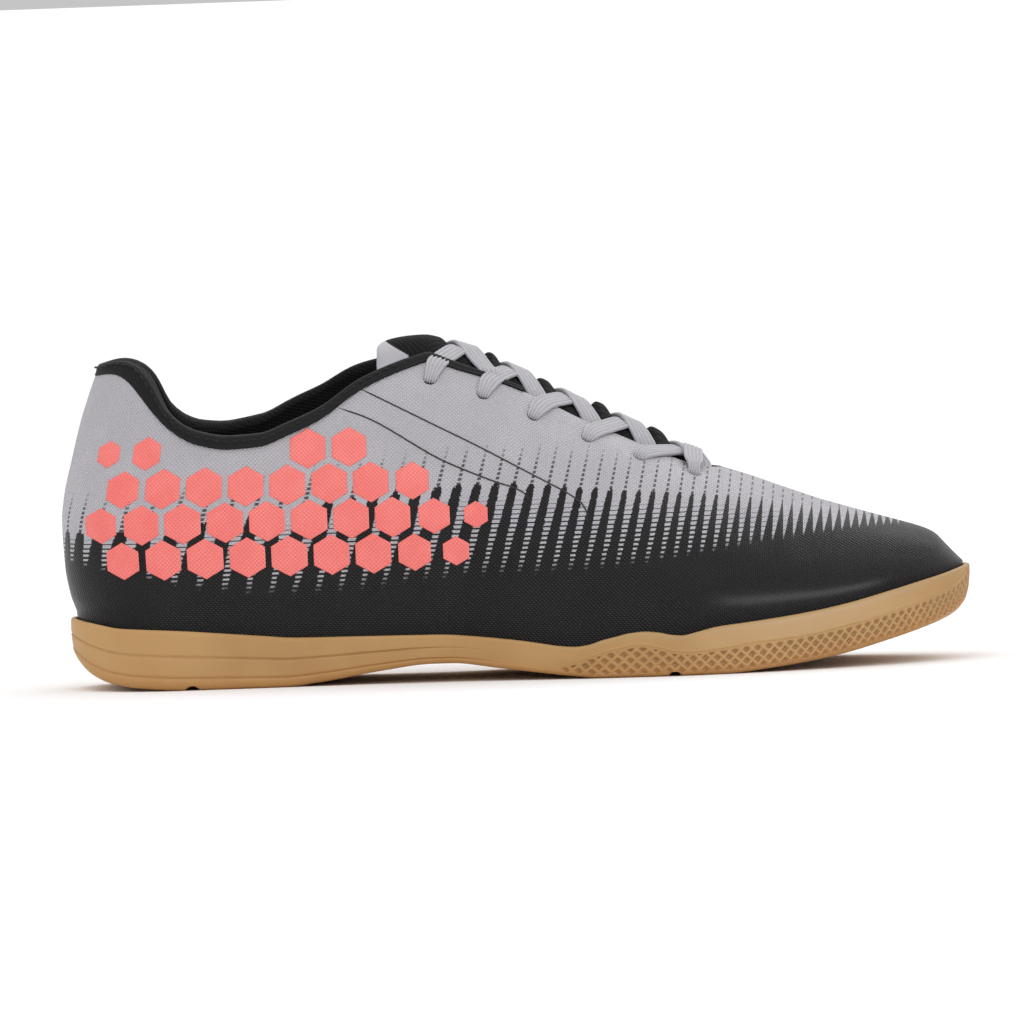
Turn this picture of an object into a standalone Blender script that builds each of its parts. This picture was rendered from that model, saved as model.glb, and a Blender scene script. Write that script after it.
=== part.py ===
"""Right indoor soccer shoe: gum cup sole, insole, thin upper, padded collar, tongue and flat laces.

Metres, +X from heel to toe, +Y to the inner side of the foot, +Z up, the floor at z = 0.
The model is made with the heel at x = 0, and its parent empty moves it so that the origin is
the middle of its footprint.
"""

import bisect
import math
from collections import namedtuple

import bmesh
import bpy
from mathutils import Vector

# Overall sizes
LENGTH = 0.285
BALL_WIDTH = 0.097
HEEL_WIDTH = 0.069
COUNTER_OVERHANG = 0.002
SOLE_BACK = COUNTER_OVERHANG
HEEL_ROUND = 0.035
TOE_ROUND = 0.075

# Cup sole
HEEL_STACK = 0.018
BALL_STACK = 0.0128
HEEL_BEVEL = 0.017
ARCH_RISE = 0.006
TOE_SPRING = 0.013
RIM_WALL = 0.0017
TREAD_INSET = 0.0026
RIB_STEP = 0.0006
GROOVE_WIDTH = 0.0026
GROOVE_DEPTH = 0.0016
PIVOT_RADIUS = 0.017

# Upper
UPPER_WALL = 0.0019
TOE_WALL_SHARE = 0.2
TOE_THINNING = 0.008
HEEL_TAB_HEIGHT = 0.0995
ANKLE_HEIGHT = 0.0750
INNER_ANKLE_RISE = 0.0047
INNER_RISE_SKEW = 1.6
THROAT_TOP_HEIGHT = 0.0998
VAMP_RIDGE = 0.0626
TOE_BOX_RIDGE = 0.0376
COLLAR_WIDTH = 0.060
THROAT_WIDTH = 0.031
THROAT_TOP = 0.117
THROAT_END = 0.208
THROAT_END_ROUND = 0.011
EYESTAY_BEND = 0.028
INSTEP_RIDGE = THROAT_TOP_HEIGHT + (THROAT_WIDTH / 2) ** 2 / (2 * EYESTAY_BEND)
COUNTER_BULGE = 0.004
HEEL_LEAN = 0.0096
LEAN_FADE = 0.110

# Collar padding
COLLAR_FULL = 0.070
COLLAR_END = 0.111
COLLAR_BAND = 0.0042
COLLAR_PROUD = 0.0004
COLLAR_PAD = 0.0068
COLLAR_PAD_END = 0.0012
COLLAR_DEPTH = 0.024
COLLAR_DEPTH_END = 0.008

# Tongue, insole and laces
TONGUE_THICKNESS = 0.0040
TONGUE_CROWN = 0.0044
TONGUE_TOP_PAD = 0.0028
TONGUE_PAD_LENGTH = 0.032
TONGUE_TIP = 0.1005
TONGUE_TIP_DROP = 0.0035
TONGUE_CROWN_FADE = 0.006
TONGUE_CROWN_END = 0.0025
TONGUE_ARCH_MIN = 0.006
TONGUE_STEP_START = 0.004
TONGUE_STEP = 0.010
TONGUE_FRONT = 0.224
TONGUE_HALF_WIDTH = 0.021
INSOLE_THICKNESS = 0.0035
EYELET_RADIUS = 0.0021
EYELET_FROM_EDGE = 0.0128
LACE_WIDTH = 0.0062
LACE_THICKNESS = 0.0014
LACE_CLEARANCE = 0.0009
LACE_END_INSET = 0.0078
CROSSING_LIFT = 0.0008
PROBE = 0.0004

GAP = 0.0004
LIP_GAP = 0.0005

OUTER, INNER = -1, 1

# Plan of the sole. Centre and ridge are shares of half the ball width. The half width is the
# heel share of half the heel width plus the ball share of half the ball width.
Plan = namedtuple("Plan", "along centre ridge heel ball")
PLAN = [
    Plan(0.00, 0.000, 0.00, 1.00, 0.00),
    Plan(0.14, 0.000, 0.00, 1.00, 0.00),
    Plan(0.21, -0.015, 0.00, 0.99, 0.00),
    Plan(0.28, -0.050, 0.00, 0.94, 0.00),
    Plan(0.35, -0.090, 0.00, 0.85, 0.05),
    Plan(0.42, -0.120, 0.00, 0.60, 0.24),
    Plan(0.49, -0.130, 0.02, 0.30, 0.52),
    Plan(0.56, -0.110, 0.05, 0.10, 0.765),
    Plan(0.63, -0.070, 0.08, 0.00, 0.938),
    Plan(0.70, -0.015, 0.11, 0.00, 1.000),
    Plan(0.77, 0.030, 0.13, 0.00, 0.975),
    Plan(0.825, 0.065, 0.15, 0.00, 0.935),
    Plan(0.877, 0.095, 0.16, 0.00, 0.905),
    Plan(0.93, 0.125, 0.17, 0.00, 0.890),
    Plan(1.00, 0.175, 0.175, 0.00, 0.890),
]

# Underside of the sole: shares of the heel bevel, the arch's rise and the toe spring.
Under = namedtuple("Under", "along bevel arch spring")
UNDERSIDE = [
    Under(0.000, 0.920, 0.000, 0.000),
    Under(0.014, 0.540, 0.000, 0.000),
    Under(0.035, 0.260, 0.000, 0.000),
    Under(0.056, 0.130, 0.000, 0.000),
    Under(0.088, 0.050, 0.000, 0.000),
    Under(0.140, 0.000, 0.000, 0.000),
    Under(0.240, 0.000, 0.000, 0.000),
    Under(0.283, 0.000, 0.210, 0.000),
    Under(0.348, 0.000, 0.680, 0.000),
    Under(0.405, 0.000, 0.970, 0.000),
    Under(0.425, 0.000, 0.970, 0.000),
    Under(0.478, 0.000, 0.650, 0.000),
    Under(0.550, 0.000, 0.190, 0.000),
    Under(0.590, 0.000, 0.000, 0.000),
    Under(0.720, 0.000, 0.000, 0.000),
    Under(0.777, 0.000, 0.000, 0.100),
    Under(0.816, 0.000, 0.000, 0.200),
    Under(0.857, 0.000, 0.000, 0.350),
    Under(0.905, 0.000, 0.000, 0.600),
    Under(0.944, 0.000, 0.000, 0.830),
    Under(0.960, 0.000, 0.000, 0.940),
    Under(0.979, 0.000, 0.000, 1.110),
    Under(0.993, 0.000, 0.000, 1.360),
    Under(1.000, 0.000, 0.000, 1.740),
]

# Top edge of the cup's rim, and the bed inside it: shares of the heel stack, the ball stack
# and the toe spring. The rim rises in a wave beside the ball of the foot.
Level = namedtuple("Level", "along heel ball spring")
RIM = [
    Level(0.000, 1.280, 0.000, 0.000),
    Level(0.037, 1.172, 0.000, 0.000),
    Level(0.060, 1.106, 0.000, 0.000),
    Level(0.090, 1.078, 0.000, 0.000),
    Level(0.126, 1.044, 0.000, 0.000),
    Level(0.170, 0.983, 0.000, 0.000),
    Level(0.214, 0.917, 0.000, 0.000),
    Level(0.258, 0.860, 0.000, 0.000),
    Level(0.330, 0.846, 0.000, 0.000),
    Level(0.390, 0.838, 0.000, 0.000),
    Level(0.413, 0.700, 0.188, 0.000),
    Level(0.446, 0.500, 0.414, 0.000),
    Level(0.500, 0.200, 0.695, 0.000),
    Level(0.523, 0.120, 0.722, 0.000),
    Level(0.545, 0.050, 0.742, 0.000),
    Level(0.560, 0.000, 0.789, 0.000),
    Level(0.575, 0.000, 0.828, 0.000),
    Level(0.590, 0.000, 0.930, 0.000),
    Level(0.605, 0.000, 1.008, 0.000),
    Level(0.622, 0.000, 1.086, 0.000),
    Level(0.636, 0.000, 1.109, 0.000),
    Level(0.652, 0.000, 1.078, 0.000),
    Level(0.665, 0.000, 1.016, 0.000),
    Level(0.678, 0.000, 0.988, 0.000),
    Level(0.692, 0.000, 1.047, 0.000),
    Level(0.718, 0.000, 1.172, 0.000),
    Level(0.745, 0.000, 1.190, 0.040),
    Level(0.785, 0.000, 1.190, 0.130),
    Level(0.825, 0.000, 1.190, 0.240),
    Level(0.865, 0.000, 1.190, 0.390),
    Level(0.905, 0.000, 1.190, 0.590),
    Level(0.946, 0.000, 1.190, 0.800),
    Level(0.972, 0.000, 1.190, 0.930),
    Level(1.000, 0.000, 1.190, 1.090),
]
BED = [
    Level(0.00, 0.80, 0.00, 0.00),
    Level(0.09, 0.72, 0.00, 0.00),
    Level(0.21, 0.64, 0.00, 0.00),
    Level(0.32, 0.57, 0.00, 0.00),
    Level(0.42, 0.40, 0.16, 0.00),
    Level(0.50, 0.18, 0.36, 0.00),
    Level(0.58, 0.00, 0.53, 0.00),
    Level(0.65, 0.00, 0.51, 0.00),
    Level(0.72, 0.00, 0.56, 0.00),
    Level(0.78, 0.00, 0.62, 0.16),
    Level(0.86, 0.00, 0.66, 0.53),
    Level(0.91, 0.00, 0.68, 0.77),
    Level(0.95, 0.00, 0.70, 0.92),
    Level(1.00, 0.00, 0.72, 1.10),
]

# Side of the sole from its tread to its rim: rib steps inward, and share of the way up.
Step = namedtuple("Step", "steps up")
SOLE_SIDE = [
    Step(1.60, 0.09),
    Step(1.00, 0.22),
    Step(1.90, 0.25),
    Step(0.80, 0.29),
    Step(0.40, 0.54),
    Step(1.30, 0.57),
    Step(0.00, 0.62),
    Step(0.00, 0.93),
    Step(0.80, 1.00),
]

# Height of the upper's edge round the collar, and its half width round collar and throat.
Collar = namedtuple("Collar", "along heel ankle throat")
COLLAR_EDGE = [
    Collar(0.014, 0.990, 0.000, 0.000),
    Collar(0.030, 1.004, 0.000, 0.000),
    Collar(0.055, 1.000, 0.000, 0.000),
    Collar(0.070, 0.890, 0.110, 0.000),
    Collar(0.091, 0.660, 0.340, 0.000),
    Collar(0.113, 0.360, 0.640, 0.000),
    Collar(0.134, 0.175, 0.825, 0.000),
    Collar(0.154, 0.070, 0.930, 0.000),
    Collar(0.188, 0.000, 1.000, 0.000),
    Collar(0.223, 0.000, 0.980, 0.020),
    Collar(0.255, 0.000, 0.850, 0.150),
    Collar(0.289, 0.000, 0.680, 0.320),
    Collar(0.335, 0.000, 0.330, 0.670),
    Collar(0.379, 0.000, 0.115, 0.885),
    Collar(0.411, 0.000, 0.000, 1.000),
]
Edge = namedtuple("Edge", "along collar throat")
EDGE_HALF_WIDTH = [
    Edge(0.014, 0.80, 0.00),
    Edge(0.052, 0.83, 0.00),
    Edge(0.085, 0.88, 0.00),
    Edge(0.133, 0.97, 0.00),
    Edge(0.188, 1.00, 0.00),
    Edge(0.255, 0.94, 0.02),
    Edge(0.300, 0.78, 0.15),
    Edge(0.340, 0.55, 0.34),
    Edge(0.380, 0.20, 0.77),
    Edge(0.411, 0.00, 1.00),
    Edge(0.500, 0.00, 0.94),
    Edge(0.600, 0.00, 0.82),
    Edge(0.680, 0.00, 0.69),
    Edge(0.730, 0.00, 0.60),
]

# Top line of the last over instep, vamp and toe box.
Ridge = namedtuple("Ridge", "along instep vamp toe")
RIDGE = [
    Ridge(0.365, 1.018, 0.000, 0.000),
    Ridge(0.390, 1.014, 0.000, 0.000),
    Ridge(0.411, 1.000, 0.000, 0.000),
    Ridge(0.442, 0.918, 0.082, 0.000),
    Ridge(0.481, 0.822, 0.178, 0.000),
    Ridge(0.505, 0.748, 0.252, 0.000),
    Ridge(0.533, 0.651, 0.349, 0.000),
    Ridge(0.575, 0.486, 0.514, 0.000),
    Ridge(0.621, 0.327, 0.673, 0.000),
    Ridge(0.663, 0.183, 0.817, 0.000),
    Ridge(0.705, 0.058, 0.942, 0.000),
    Ridge(0.730, 0.000, 1.000, 0.000),
    Ridge(0.761, 0.000, 0.880, 0.120),
    Ridge(0.799, 0.000, 0.717, 0.283),
    Ridge(0.836, 0.000, 0.560, 0.440),
    Ridge(0.876, 0.000, 0.415, 0.585),
    Ridge(0.916, 0.000, 0.278, 0.722),
    Ridge(0.942, 0.000, 0.190, 0.810),
    Ridge(0.955, 0.000, 0.140, 0.860),
    Ridge(0.968, 0.000, 0.066, 0.934),
    Ridge(0.980, 0.000, 0.000, 0.971),
    Ridge(0.988, 0.000, 0.000, 0.910),
    Ridge(0.995, 0.000, 0.000, 0.842),
    Ridge(1.000, 0.000, 0.000, 0.826),
]

# Each section of the upper is one bend from the rim to its edge. Belly and shoulder are its
# two control points: shares of the half width at the rim, and of the way up.
Bend = namedtuple("Bend", "along belly belly_up shoulder shoulder_up inner_rise")
SECTIONS = [
    Bend(0.014, 1.05, 0.35, 0.86, 0.72, 0.00),
    Bend(0.090, 1.06, 0.35, 0.92, 0.72, 0.00),
    Bend(0.190, 1.07, 0.33, 0.98, 0.70, 0.00),
    Bend(0.300, 1.10, 0.34, 0.97, 0.72, 0.04),
    Bend(0.411, 1.18, 0.36, 0.92, 0.77, 0.12),
    Bend(0.526, 1.13, 0.38, 0.87, 0.83, 0.10),
    Bend(0.630, 1.08, 0.40, 0.78, 0.92, 0.04),
    Bend(0.730, 1.05, 0.42, 0.64, 1.00, 0.00),
    Bend(0.807, 1.04, 0.46, 0.60, 1.00, 0.00),
    Bend(0.877, 1.03, 0.50, 0.58, 1.00, 0.00),
    Bend(0.950, 1.02, 0.55, 0.58, 1.00, 0.00),
    Bend(0.993, 1.00, 0.60, 0.55, 1.00, 0.00),
]

# Back line of the heel by height: shares of the counter's bulge and of the lean.
Back = namedtuple("Back", "along bulge lean")
HEEL_BACK = [
    Back(0.245, 0.00, 0.00),
    Back(0.300, 0.50, 0.00),
    Back(0.390, 0.88, 0.00),
    Back(0.530, 1.00, 0.00),
    Back(0.610, 0.85, 0.04),
    Back(0.720, 0.60, 0.24),
    Back(0.850, 0.20, 0.47),
    Back(0.930, 0.00, 0.70),
    Back(1.000, 0.00, 1.00),
    Back(1.100, 0.00, 1.38),
]

# Places along the sole of its tread grooves and of the ring they meet, as shares of its length
GROOVE_LINES = (0.102, 0.137, 0.253, 0.288, 0.523, 0.561, 0.675, 0.791, 0.830, 0.868)
GROOVE_SLANT = math.radians(14)
PIVOT_PLACE = 0.702

# Round top of the collar: shares of its band's height, and of its pad inward or proud outward
Roll = namedtuple("Roll", "rise inward")
COLLAR_ROLL = [
    Roll(0.45, -1.00),
    Roll(0.80, 0.12),
    Roll(1.00, 0.42),
    Roll(0.86, 0.78),
    Roll(0.45, 1.00),
]

# Tongue: places across its arch, and the round of its tip from its end back to the throat
TONGUE_ARCH = (0.17, 0.33, 0.5, 0.67, 0.83)
TongueTip = namedtuple("TongueTip", "back width drop")
TONGUE_TIP_ROWS = [
    TongueTip(1.00, 0.48, 1.00),
    TongueTip(0.93, 0.62, 0.62),
    TongueTip(0.75, 0.72, 0.30),
    TongueTip(0.45, 0.76, 0.08),
    TongueTip(0.18, 0.80, 0.00),
]

# Eyelets of one side: shares of the throat's length, and of the greatest distance from its edge
Eyelet = namedtuple("Eyelet", "along below")
EYELETS = [
    Eyelet(0.005, 0.56),
    Eyelet(0.182, 0.62),
    Eyelet(0.350, 0.83),
    Eyelet(0.534, 0.92),
    Eyelet(0.713, 1.00),
    Eyelet(0.901, 0.95),
]

# Places along a lace's strand and along its last bar where its section is set
STRAND_PARTS = (0.0, 0.06, 0.12, 0.19, 0.28, 0.39, 0.5, 0.61, 0.73, 0.86, 1.0)
BAR_PARTS = (0.0, 0.1, 0.18, 0.26, 0.34, 0.42, 0.5, 0.58, 0.66, 0.74, 0.82, 0.9, 1.0)


def smooth_curve(xs, ys):
    """Function that runs smoothly through points, with no overshoot."""
    chords = [(ys[i + 1] - ys[i]) / (xs[i + 1] - xs[i]) for i in range(len(xs) - 1)]
    slopes = [chords[0]]
    for before, after in zip(chords, chords[1:]):
        level = before * after <= 0
        slopes.append(0.0 if level else 2 * before * after / (before + after))
    slopes.append(chords[-1])

    def value(along):
        along = min(max(along, xs[0]), xs[-1])
        i = min(bisect.bisect_right(xs, along), len(xs) - 1) - 1
        width = xs[i + 1] - xs[i]
        t = (along - xs[i]) / width
        rise = t * t * (3 - 2 * t)
        start = slopes[i] * width * t * (1 - t) ** 2
        end = slopes[i + 1] * width * t * t * (t - 1)
        return ys[i] + (ys[i + 1] - ys[i]) * rise + start + end

    return value


def sized_curve(rows, unit=LENGTH, **sizes):
    """Smooth line through a table's rows: the sums of the columns times the sizes given."""
    sums = [sum(getattr(row, name) * size for name, size in sizes.items()) for row in rows]
    curve = smooth_curve([row.along for row in rows], sums)
    return lambda x: curve(x / unit)


centre_line = sized_curve(PLAN, centre=BALL_WIDTH / 2)
ridge_line = sized_curve(PLAN, ridge=BALL_WIDTH / 2)
half_width = sized_curve(PLAN, heel=HEEL_WIDTH / 2, ball=BALL_WIDTH / 2)
underside = sized_curve(UNDERSIDE, bevel=HEEL_BEVEL, arch=ARCH_RISE, spring=TOE_SPRING)
rim_level = sized_curve(RIM, heel=HEEL_STACK, ball=BALL_STACK, spring=TOE_SPRING)
bed_level = sized_curve(BED, heel=HEEL_STACK, ball=BALL_STACK, spring=TOE_SPRING)
collar_edge = sized_curve(
    COLLAR_EDGE, heel=HEEL_TAB_HEIGHT, ankle=ANKLE_HEIGHT, throat=THROAT_TOP_HEIGHT
)
open_half_width = sized_curve(
    EDGE_HALF_WIDTH, collar=COLLAR_WIDTH / 2, throat=THROAT_WIDTH / 2
)
ridge_level = sized_curve(
    RIDGE, instep=INSTEP_RIDGE, vamp=VAMP_RIDGE, toe=TOE_BOX_RIDGE
)
belly, belly_up, shoulder, shoulder_up, inner_rise = (
    sized_curve(SECTIONS, **{name: 1.0}) for name in Bend._fields[1:]
)
back_shift = sized_curve(
    HEEL_BACK, HEEL_TAB_HEIGHT, bulge=-COUNTER_BULGE, lean=HEEL_LEAN
)


def lerp(a, b, t):
    return a + (b - a) * t


def ease(t):
    t = min(max(t, 0.0), 1.0)
    return t * t * (3 - 2 * t)


def round_share(depth, radius):
    """Share of its full width that a rounded end has at a depth behind its tip."""
    t = min(max(depth / radius, 0.0), 1.0)
    return math.sqrt(1 - (1 - t) ** 2)


# Stations along the shoe: evenly turned round both ends, closer where the throat ends.
def station_lengths(heel_steps=8, quarter_steps=12, throat_steps=14, toe_steps=11):
    heel = [
        SOLE_BACK + HEEL_ROUND * (1 - math.cos(math.pi / 2 * i / heel_steps))
        for i in range(heel_steps)
    ]
    start = SOLE_BACK + HEEL_ROUND
    quarter = [lerp(start, THROAT_TOP, i / quarter_steps) for i in range(quarter_steps)]
    throat = [
        THROAT_END - (THROAT_END - THROAT_TOP) * (1 - i / throat_steps) ** 1.5
        for i in range(throat_steps)
    ]
    toe = [
        lerp(THROAT_END, LENGTH, math.sin(math.pi / 2 * i / toe_steps))
        for i in range(toe_steps + 1)
    ]
    return heel + quarter + throat + toe


STATIONS = station_lengths()
LAST_STATION = len(STATIONS) - 1


def sole_edge():
    """Outline of the sole in plan for each side: a list of (point, outward normal)."""
    loop = []
    for side, order in ((OUTER, range(LAST_STATION + 1)), (INNER, range(LAST_STATION - 1, 0, -1))):
        for k in order:
            x = STATIONS[k]
            share = round_share(x - SOLE_BACK, HEEL_ROUND)
            share *= round_share(LENGTH - x, TOE_ROUND)
            y = centre_line(x) + side * half_width(x) * share
            loop.append(Vector((x, y)))
    count = len(loop)
    normals = []
    for i in range(count):
        before = (loop[i] - loop[i - 1]).normalized()
        after = (loop[(i + 1) % count] - loop[i]).normalized()
        along = before + after
        normals.append(Vector((along.y, -along.x)).normalized())
    pairs = list(zip(loop, normals))
    outer = pairs[: LAST_STATION + 1]
    inner = [pairs[0]] + pairs[LAST_STATION:][::-1]
    return {OUTER: outer, INNER: inner}


SOLE_EDGE = sole_edge()


def inset_point(side, k, inset):
    point, normal = SOLE_EDGE[side][k]
    return point - normal * inset


UPPER_INSET = RIM_WALL + GAP
INSOLE_INSET = UPPER_INSET + UPPER_WALL + GAP


def edge_half_width(x):
    """Half width of the upper's edge at a station: collar, throat, or none over the vamp."""
    return open_half_width(x) * round_share(THROAT_END - x, THROAT_END_ROUND)


def edge_height(side, x):
    """Height of the upper's edge: the collar's, then the throat's on the bend of the instep."""
    if x <= THROAT_TOP:
        along = (x - SOLE_BACK) / (THROAT_TOP - SOLE_BACK)
        rise = math.sin(math.pi * along**INNER_RISE_SKEW) ** 2 if side == INNER else 0.0
        return collar_edge(x) + INNER_ANKLE_RISE * rise
    return ridge_level(x) - edge_half_width(x) ** 2 / (2 * EYESTAY_BEND)


def upper_section(side, k, rows):
    """Outer face of the upper at a station, from the bed up to its edge."""
    foot = inset_point(side, k, UPPER_INSET)
    middle = (foot.x + inset_point(-side, k, UPPER_INSET).x) / 2
    x = STATIONS[k]
    widest = half_width(x)
    share = abs(foot.y - centre_line(foot.x)) / widest
    low = rim_level(x) + LIP_GAP
    high = edge_height(side, x)
    up_share = shoulder_up(x) + (inner_rise(x) if side == INNER else 0.0)
    bends = [
        (foot.y, low),
        (lerp(centre_line(x), foot.y, belly(x)), lerp(low, high, belly_up(x))),
        (lerp(centre_line(x), foot.y, shoulder(x)), lerp(low, high, up_share)),
        (ridge_line(x) + side * edge_half_width(x) * (share if x < HEEL_ROUND else 1), high),
    ]
    if k in (0, LAST_STATION):
        bends = [(foot.y, z) for _, z in bends]
    points = [Vector((foot.x, foot.y, bed_level(foot.x) + GAP))]
    for j in range(rows + 1):
        t = j / rows
        weights = ((1 - t) ** 3, 3 * t * (1 - t) ** 2, 3 * t * t * (1 - t), t**3)
        y = sum(w * bend[0] for w, bend in zip(weights, bends))
        z = sum(w * bend[1] for w, bend in zip(weights, bends))
        fade = max(0.0, 1 - middle / LEAN_FADE) ** 2
        points.append(Vector((lerp(foot.x, middle, t) + back_shift(z) * fade, y, z)))
    return points


UPPER_ROWS = 8
UPPER = {
    side: [upper_section(side, k, UPPER_ROWS) for k in range(LAST_STATION + 1)]
    for side in (OUTER, INNER)
}
COLLAR_STATION = max(k for k, x in enumerate(STATIONS) if x <= COLLAR_END)
TONGUE_STATIONS = [
    k for k, x in enumerate(STATIONS) if THROAT_TOP - 1e-9 <= x <= TONGUE_FRONT
]


def outward(side, k, j):
    """Outward normal of the upper's outer face at a station and row."""
    here = UPPER[side]
    up = here[k][min(j + 1, len(here[k]) - 1)] - here[k][max(j - 1, 0)]
    before = here[k - 1][j] if k else UPPER[-side][1][j]
    after = here[k + 1][j] if k < LAST_STATION else UPPER[-side][k - 1][j]
    normal = (after - before).cross(up) * -side
    return normal.normalized()


def hanging_point(side, k, below):
    """Point and normal of the upper's outer face at a station, that far below its edge."""
    section = UPPER[side][k]
    j, left = len(section) - 1, below
    while left > (section[j] - section[j - 1]).length:
        left -= (section[j] - section[j - 1]).length
        j -= 1
    part = left / (section[j] - section[j - 1]).length
    normal = lerp(outward(side, k, j), outward(side, k, j - 1), part).normalized()
    return lerp(section[j], section[j - 1], part), normal


def upper_at(side, x, from_edge):
    """Point and normal on the upper's outer face, at a length and a distance below its edge."""
    k = min(bisect.bisect_right(STATIONS, x), LAST_STATION) - 1
    t = (x - STATIONS[k]) / (STATIONS[k + 1] - STATIONS[k])
    found = []
    for station in (k, k + 1):
        found.append(hanging_point(side, station, from_edge))
    return lerp(found[0][0], found[1][0], t), lerp(found[0][1], found[1][1], t).normalized()


# Making objects
def material(name, colour, roughness):
    made = bpy.data.materials.new(name)
    made.use_nodes = True
    shader = made.node_tree.nodes["Principled BSDF"]
    shader.inputs["Base Color"].default_value = (*colour, 1.0)
    shader.inputs["Roughness"].default_value = roughness
    return made


def mesh_object(name, grids, surface=None, caps=(), collection=None):
    """Object made of quad grids, each a list of rows of points, welded where they meet."""
    work = bmesh.new()
    for rows in grids:
        made = [[work.verts.new(point) for point in row] for row in rows]
        for low, high in zip(made, made[1:]):
            for i in range(len(low) - 1):
                work.faces.new((low[i], low[i + 1], high[i + 1], high[i]))
    for cap in caps:
        work.faces.new([work.verts.new(point) for point in cap])
    bmesh.ops.remove_doubles(work, verts=work.verts, dist=1e-6)
    bmesh.ops.recalc_face_normals(work, faces=work.faces)
    mesh = bpy.data.meshes.new(name)
    work.to_mesh(mesh)
    work.free()
    made_object = bpy.data.objects.new(name, mesh)
    (collection or PARTS).objects.link(made_object)
    mesh.shade_smooth()
    if surface:
        mesh.materials.append(surface)
        made_object.parent = SHOE
    return made_object


def cut(target, cutter, name):
    modifier = target.modifiers.new(name, "BOOLEAN")
    modifier.operation = "DIFFERENCE"
    modifier.object = cutter
    hide_cutter(cutter)


def hide_cutter(cutter):
    cutter.hide_render = True
    cutter.display_type = "WIRE"
    cutter.parent = SHOE


def add_wall(shell, thickness, name):
    """Thicken an open shell inward, away from the outer face that its points were made on."""
    outward_faces = 0.0
    for face in shell.data.polygons:
        axis = Vector((face.center.x, centre_line(face.center.x), BALL_STACK))
        outward_faces += face.area * face.normal.dot((face.center - axis).normalized())
    if outward_faces < 0:
        shell.data.flip_normals()
    wall = shell.modifiers.new(name, "SOLIDIFY")
    wall.thickness = thickness
    wall.offset = -1.0
    return wall


def closed(points):
    return [*points, points[0]]


def across(outer_points, inner_points, height, strips=4):
    """Grid that spans the shoe between two edges, on a surface of the given height."""
    rows = []
    for a, b in zip(outer_points, inner_points):
        flat = [lerp(a, b, j / strips) for j in range(strips + 1)]
        rows.append([Vector((p.x, p.y, height(p.x))) for p in flat])
    return rows


def side_points(inset):
    return {
        side: [inset_point(side, k, inset) for k in range(LAST_STATION + 1)]
        for side in (OUTER, INNER)
    }


def loop_row(points, heights):
    """One closed ring of points from the two sides of the shoe."""
    outer = [Vector((p.x, p.y, z)) for p, z in zip(points[OUTER], heights[OUTER])]
    inner = [Vector((p.x, p.y, z)) for p, z in zip(points[INNER], heights[INNER])]
    return outer + inner[::-1]


def level_heights(points, level):
    return {side: [level(p.x) for p in points[side]] for side in points}


# Cup sole with its rim, side ribs and tread
def make_outsole(surface):
    tread = side_points(TREAD_INSET)
    rings = [loop_row(tread, level_heights(tread, underside))]
    for step in SOLE_SIDE:
        ring = side_points(step.steps * RIB_STEP)
        heights = {
            side: [
                lerp(underside(p.x), rim_level(STATIONS[k]), step.up)
                for k, p in enumerate(ring[side])
            ]
            for side in ring
        }
        rings.append(loop_row(ring, heights))
    inside = side_points(RIM_WALL)
    tops = {side: [rim_level(x) for x in STATIONS] for side in inside}
    rings.append(loop_row(inside, tops))
    rings.append(loop_row(inside, level_heights(inside, bed_level)))
    grids = [
        rings,
        across(tread[OUTER], tread[INNER], underside),
        across(inside[OUTER], inside[INNER], bed_level),
    ]
    outsole = mesh_object("outsole", grids, surface)
    cut(outsole, tread_grooves(), "tread")
    cut(outsole, pivot_ring(), "pivot")


# Tread grooves across forefoot and heel, and a ring groove under the ball of the foot
def tread_grooves():
    work = bmesh.new()
    for share in GROOVE_LINES:
        x = share * LENGTH
        reach = GROOVE_WIDTH
        slope = (underside(x + reach) - underside(x - reach)) / (2 * reach)
        slant = GROOVE_SLANT if x > LENGTH / 2 else -GROOVE_SLANT
        made = bmesh.ops.create_cube(work, size=1.0)["verts"]
        for vert in made:
            p = vert.co
            p.x, p.y, p.z = p.x * GROOVE_WIDTH, p.y * 1.6 * BALL_WIDTH, p.z * 2 * GROOVE_DEPTH
            along = p.x - p.y * math.tan(slant)
            vert.co = Vector((x + along, p.y, underside(x) + p.z + along * slope * 0.4))
    mesh = bpy.data.meshes.new("tread_grooves")
    work.to_mesh(mesh)
    work.free()
    cutter = bpy.data.objects.new("tread_grooves", mesh)
    CUTTERS.objects.link(cutter)
    return cutter


def pivot_ring(sides=28):
    place = PIVOT_PLACE * LENGTH
    centre = Vector((place, centre_line(place), 0.0))
    profile = [
        (PIVOT_RADIUS, -GROOVE_DEPTH),
        (PIVOT_RADIUS + GROOVE_WIDTH, -GROOVE_DEPTH),
        (PIVOT_RADIUS + GROOVE_WIDTH, GROOVE_DEPTH),
        (PIVOT_RADIUS, GROOVE_DEPTH),
    ]
    rows = []
    for r, z in closed(profile):
        turn = [2 * math.pi * i / sides for i in range(sides)]
        ring = [centre + Vector((r * math.cos(a), r * math.sin(a), z)) for a in turn]
        rows.append(closed(ring))
    return mesh_object("pivot_ring", [rows], collection=CUTTERS)


def make_insole(surface):
    edge = side_points(INSOLE_INSET)

    def low(x):
        return bed_level(x) + GAP

    def high(x):
        return low(x) + INSOLE_THICKNESS

    rings = [loop_row(edge, level_heights(edge, level)) for level in (low, high)]
    grids = [
        rings,
        across(edge[OUTER], edge[INNER], low, 2),
        across(edge[OUTER], edge[INNER], high, 2),
    ]
    mesh_object("insole", grids, surface)


def eyelet_at(side, eyelet):
    """Point and normal of an eyelet on the upper's outer face."""
    x = lerp(THROAT_TOP, THROAT_END, eyelet.along)
    return upper_at(side, x, EYELET_FROM_EDGE * eyelet.below)


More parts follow.
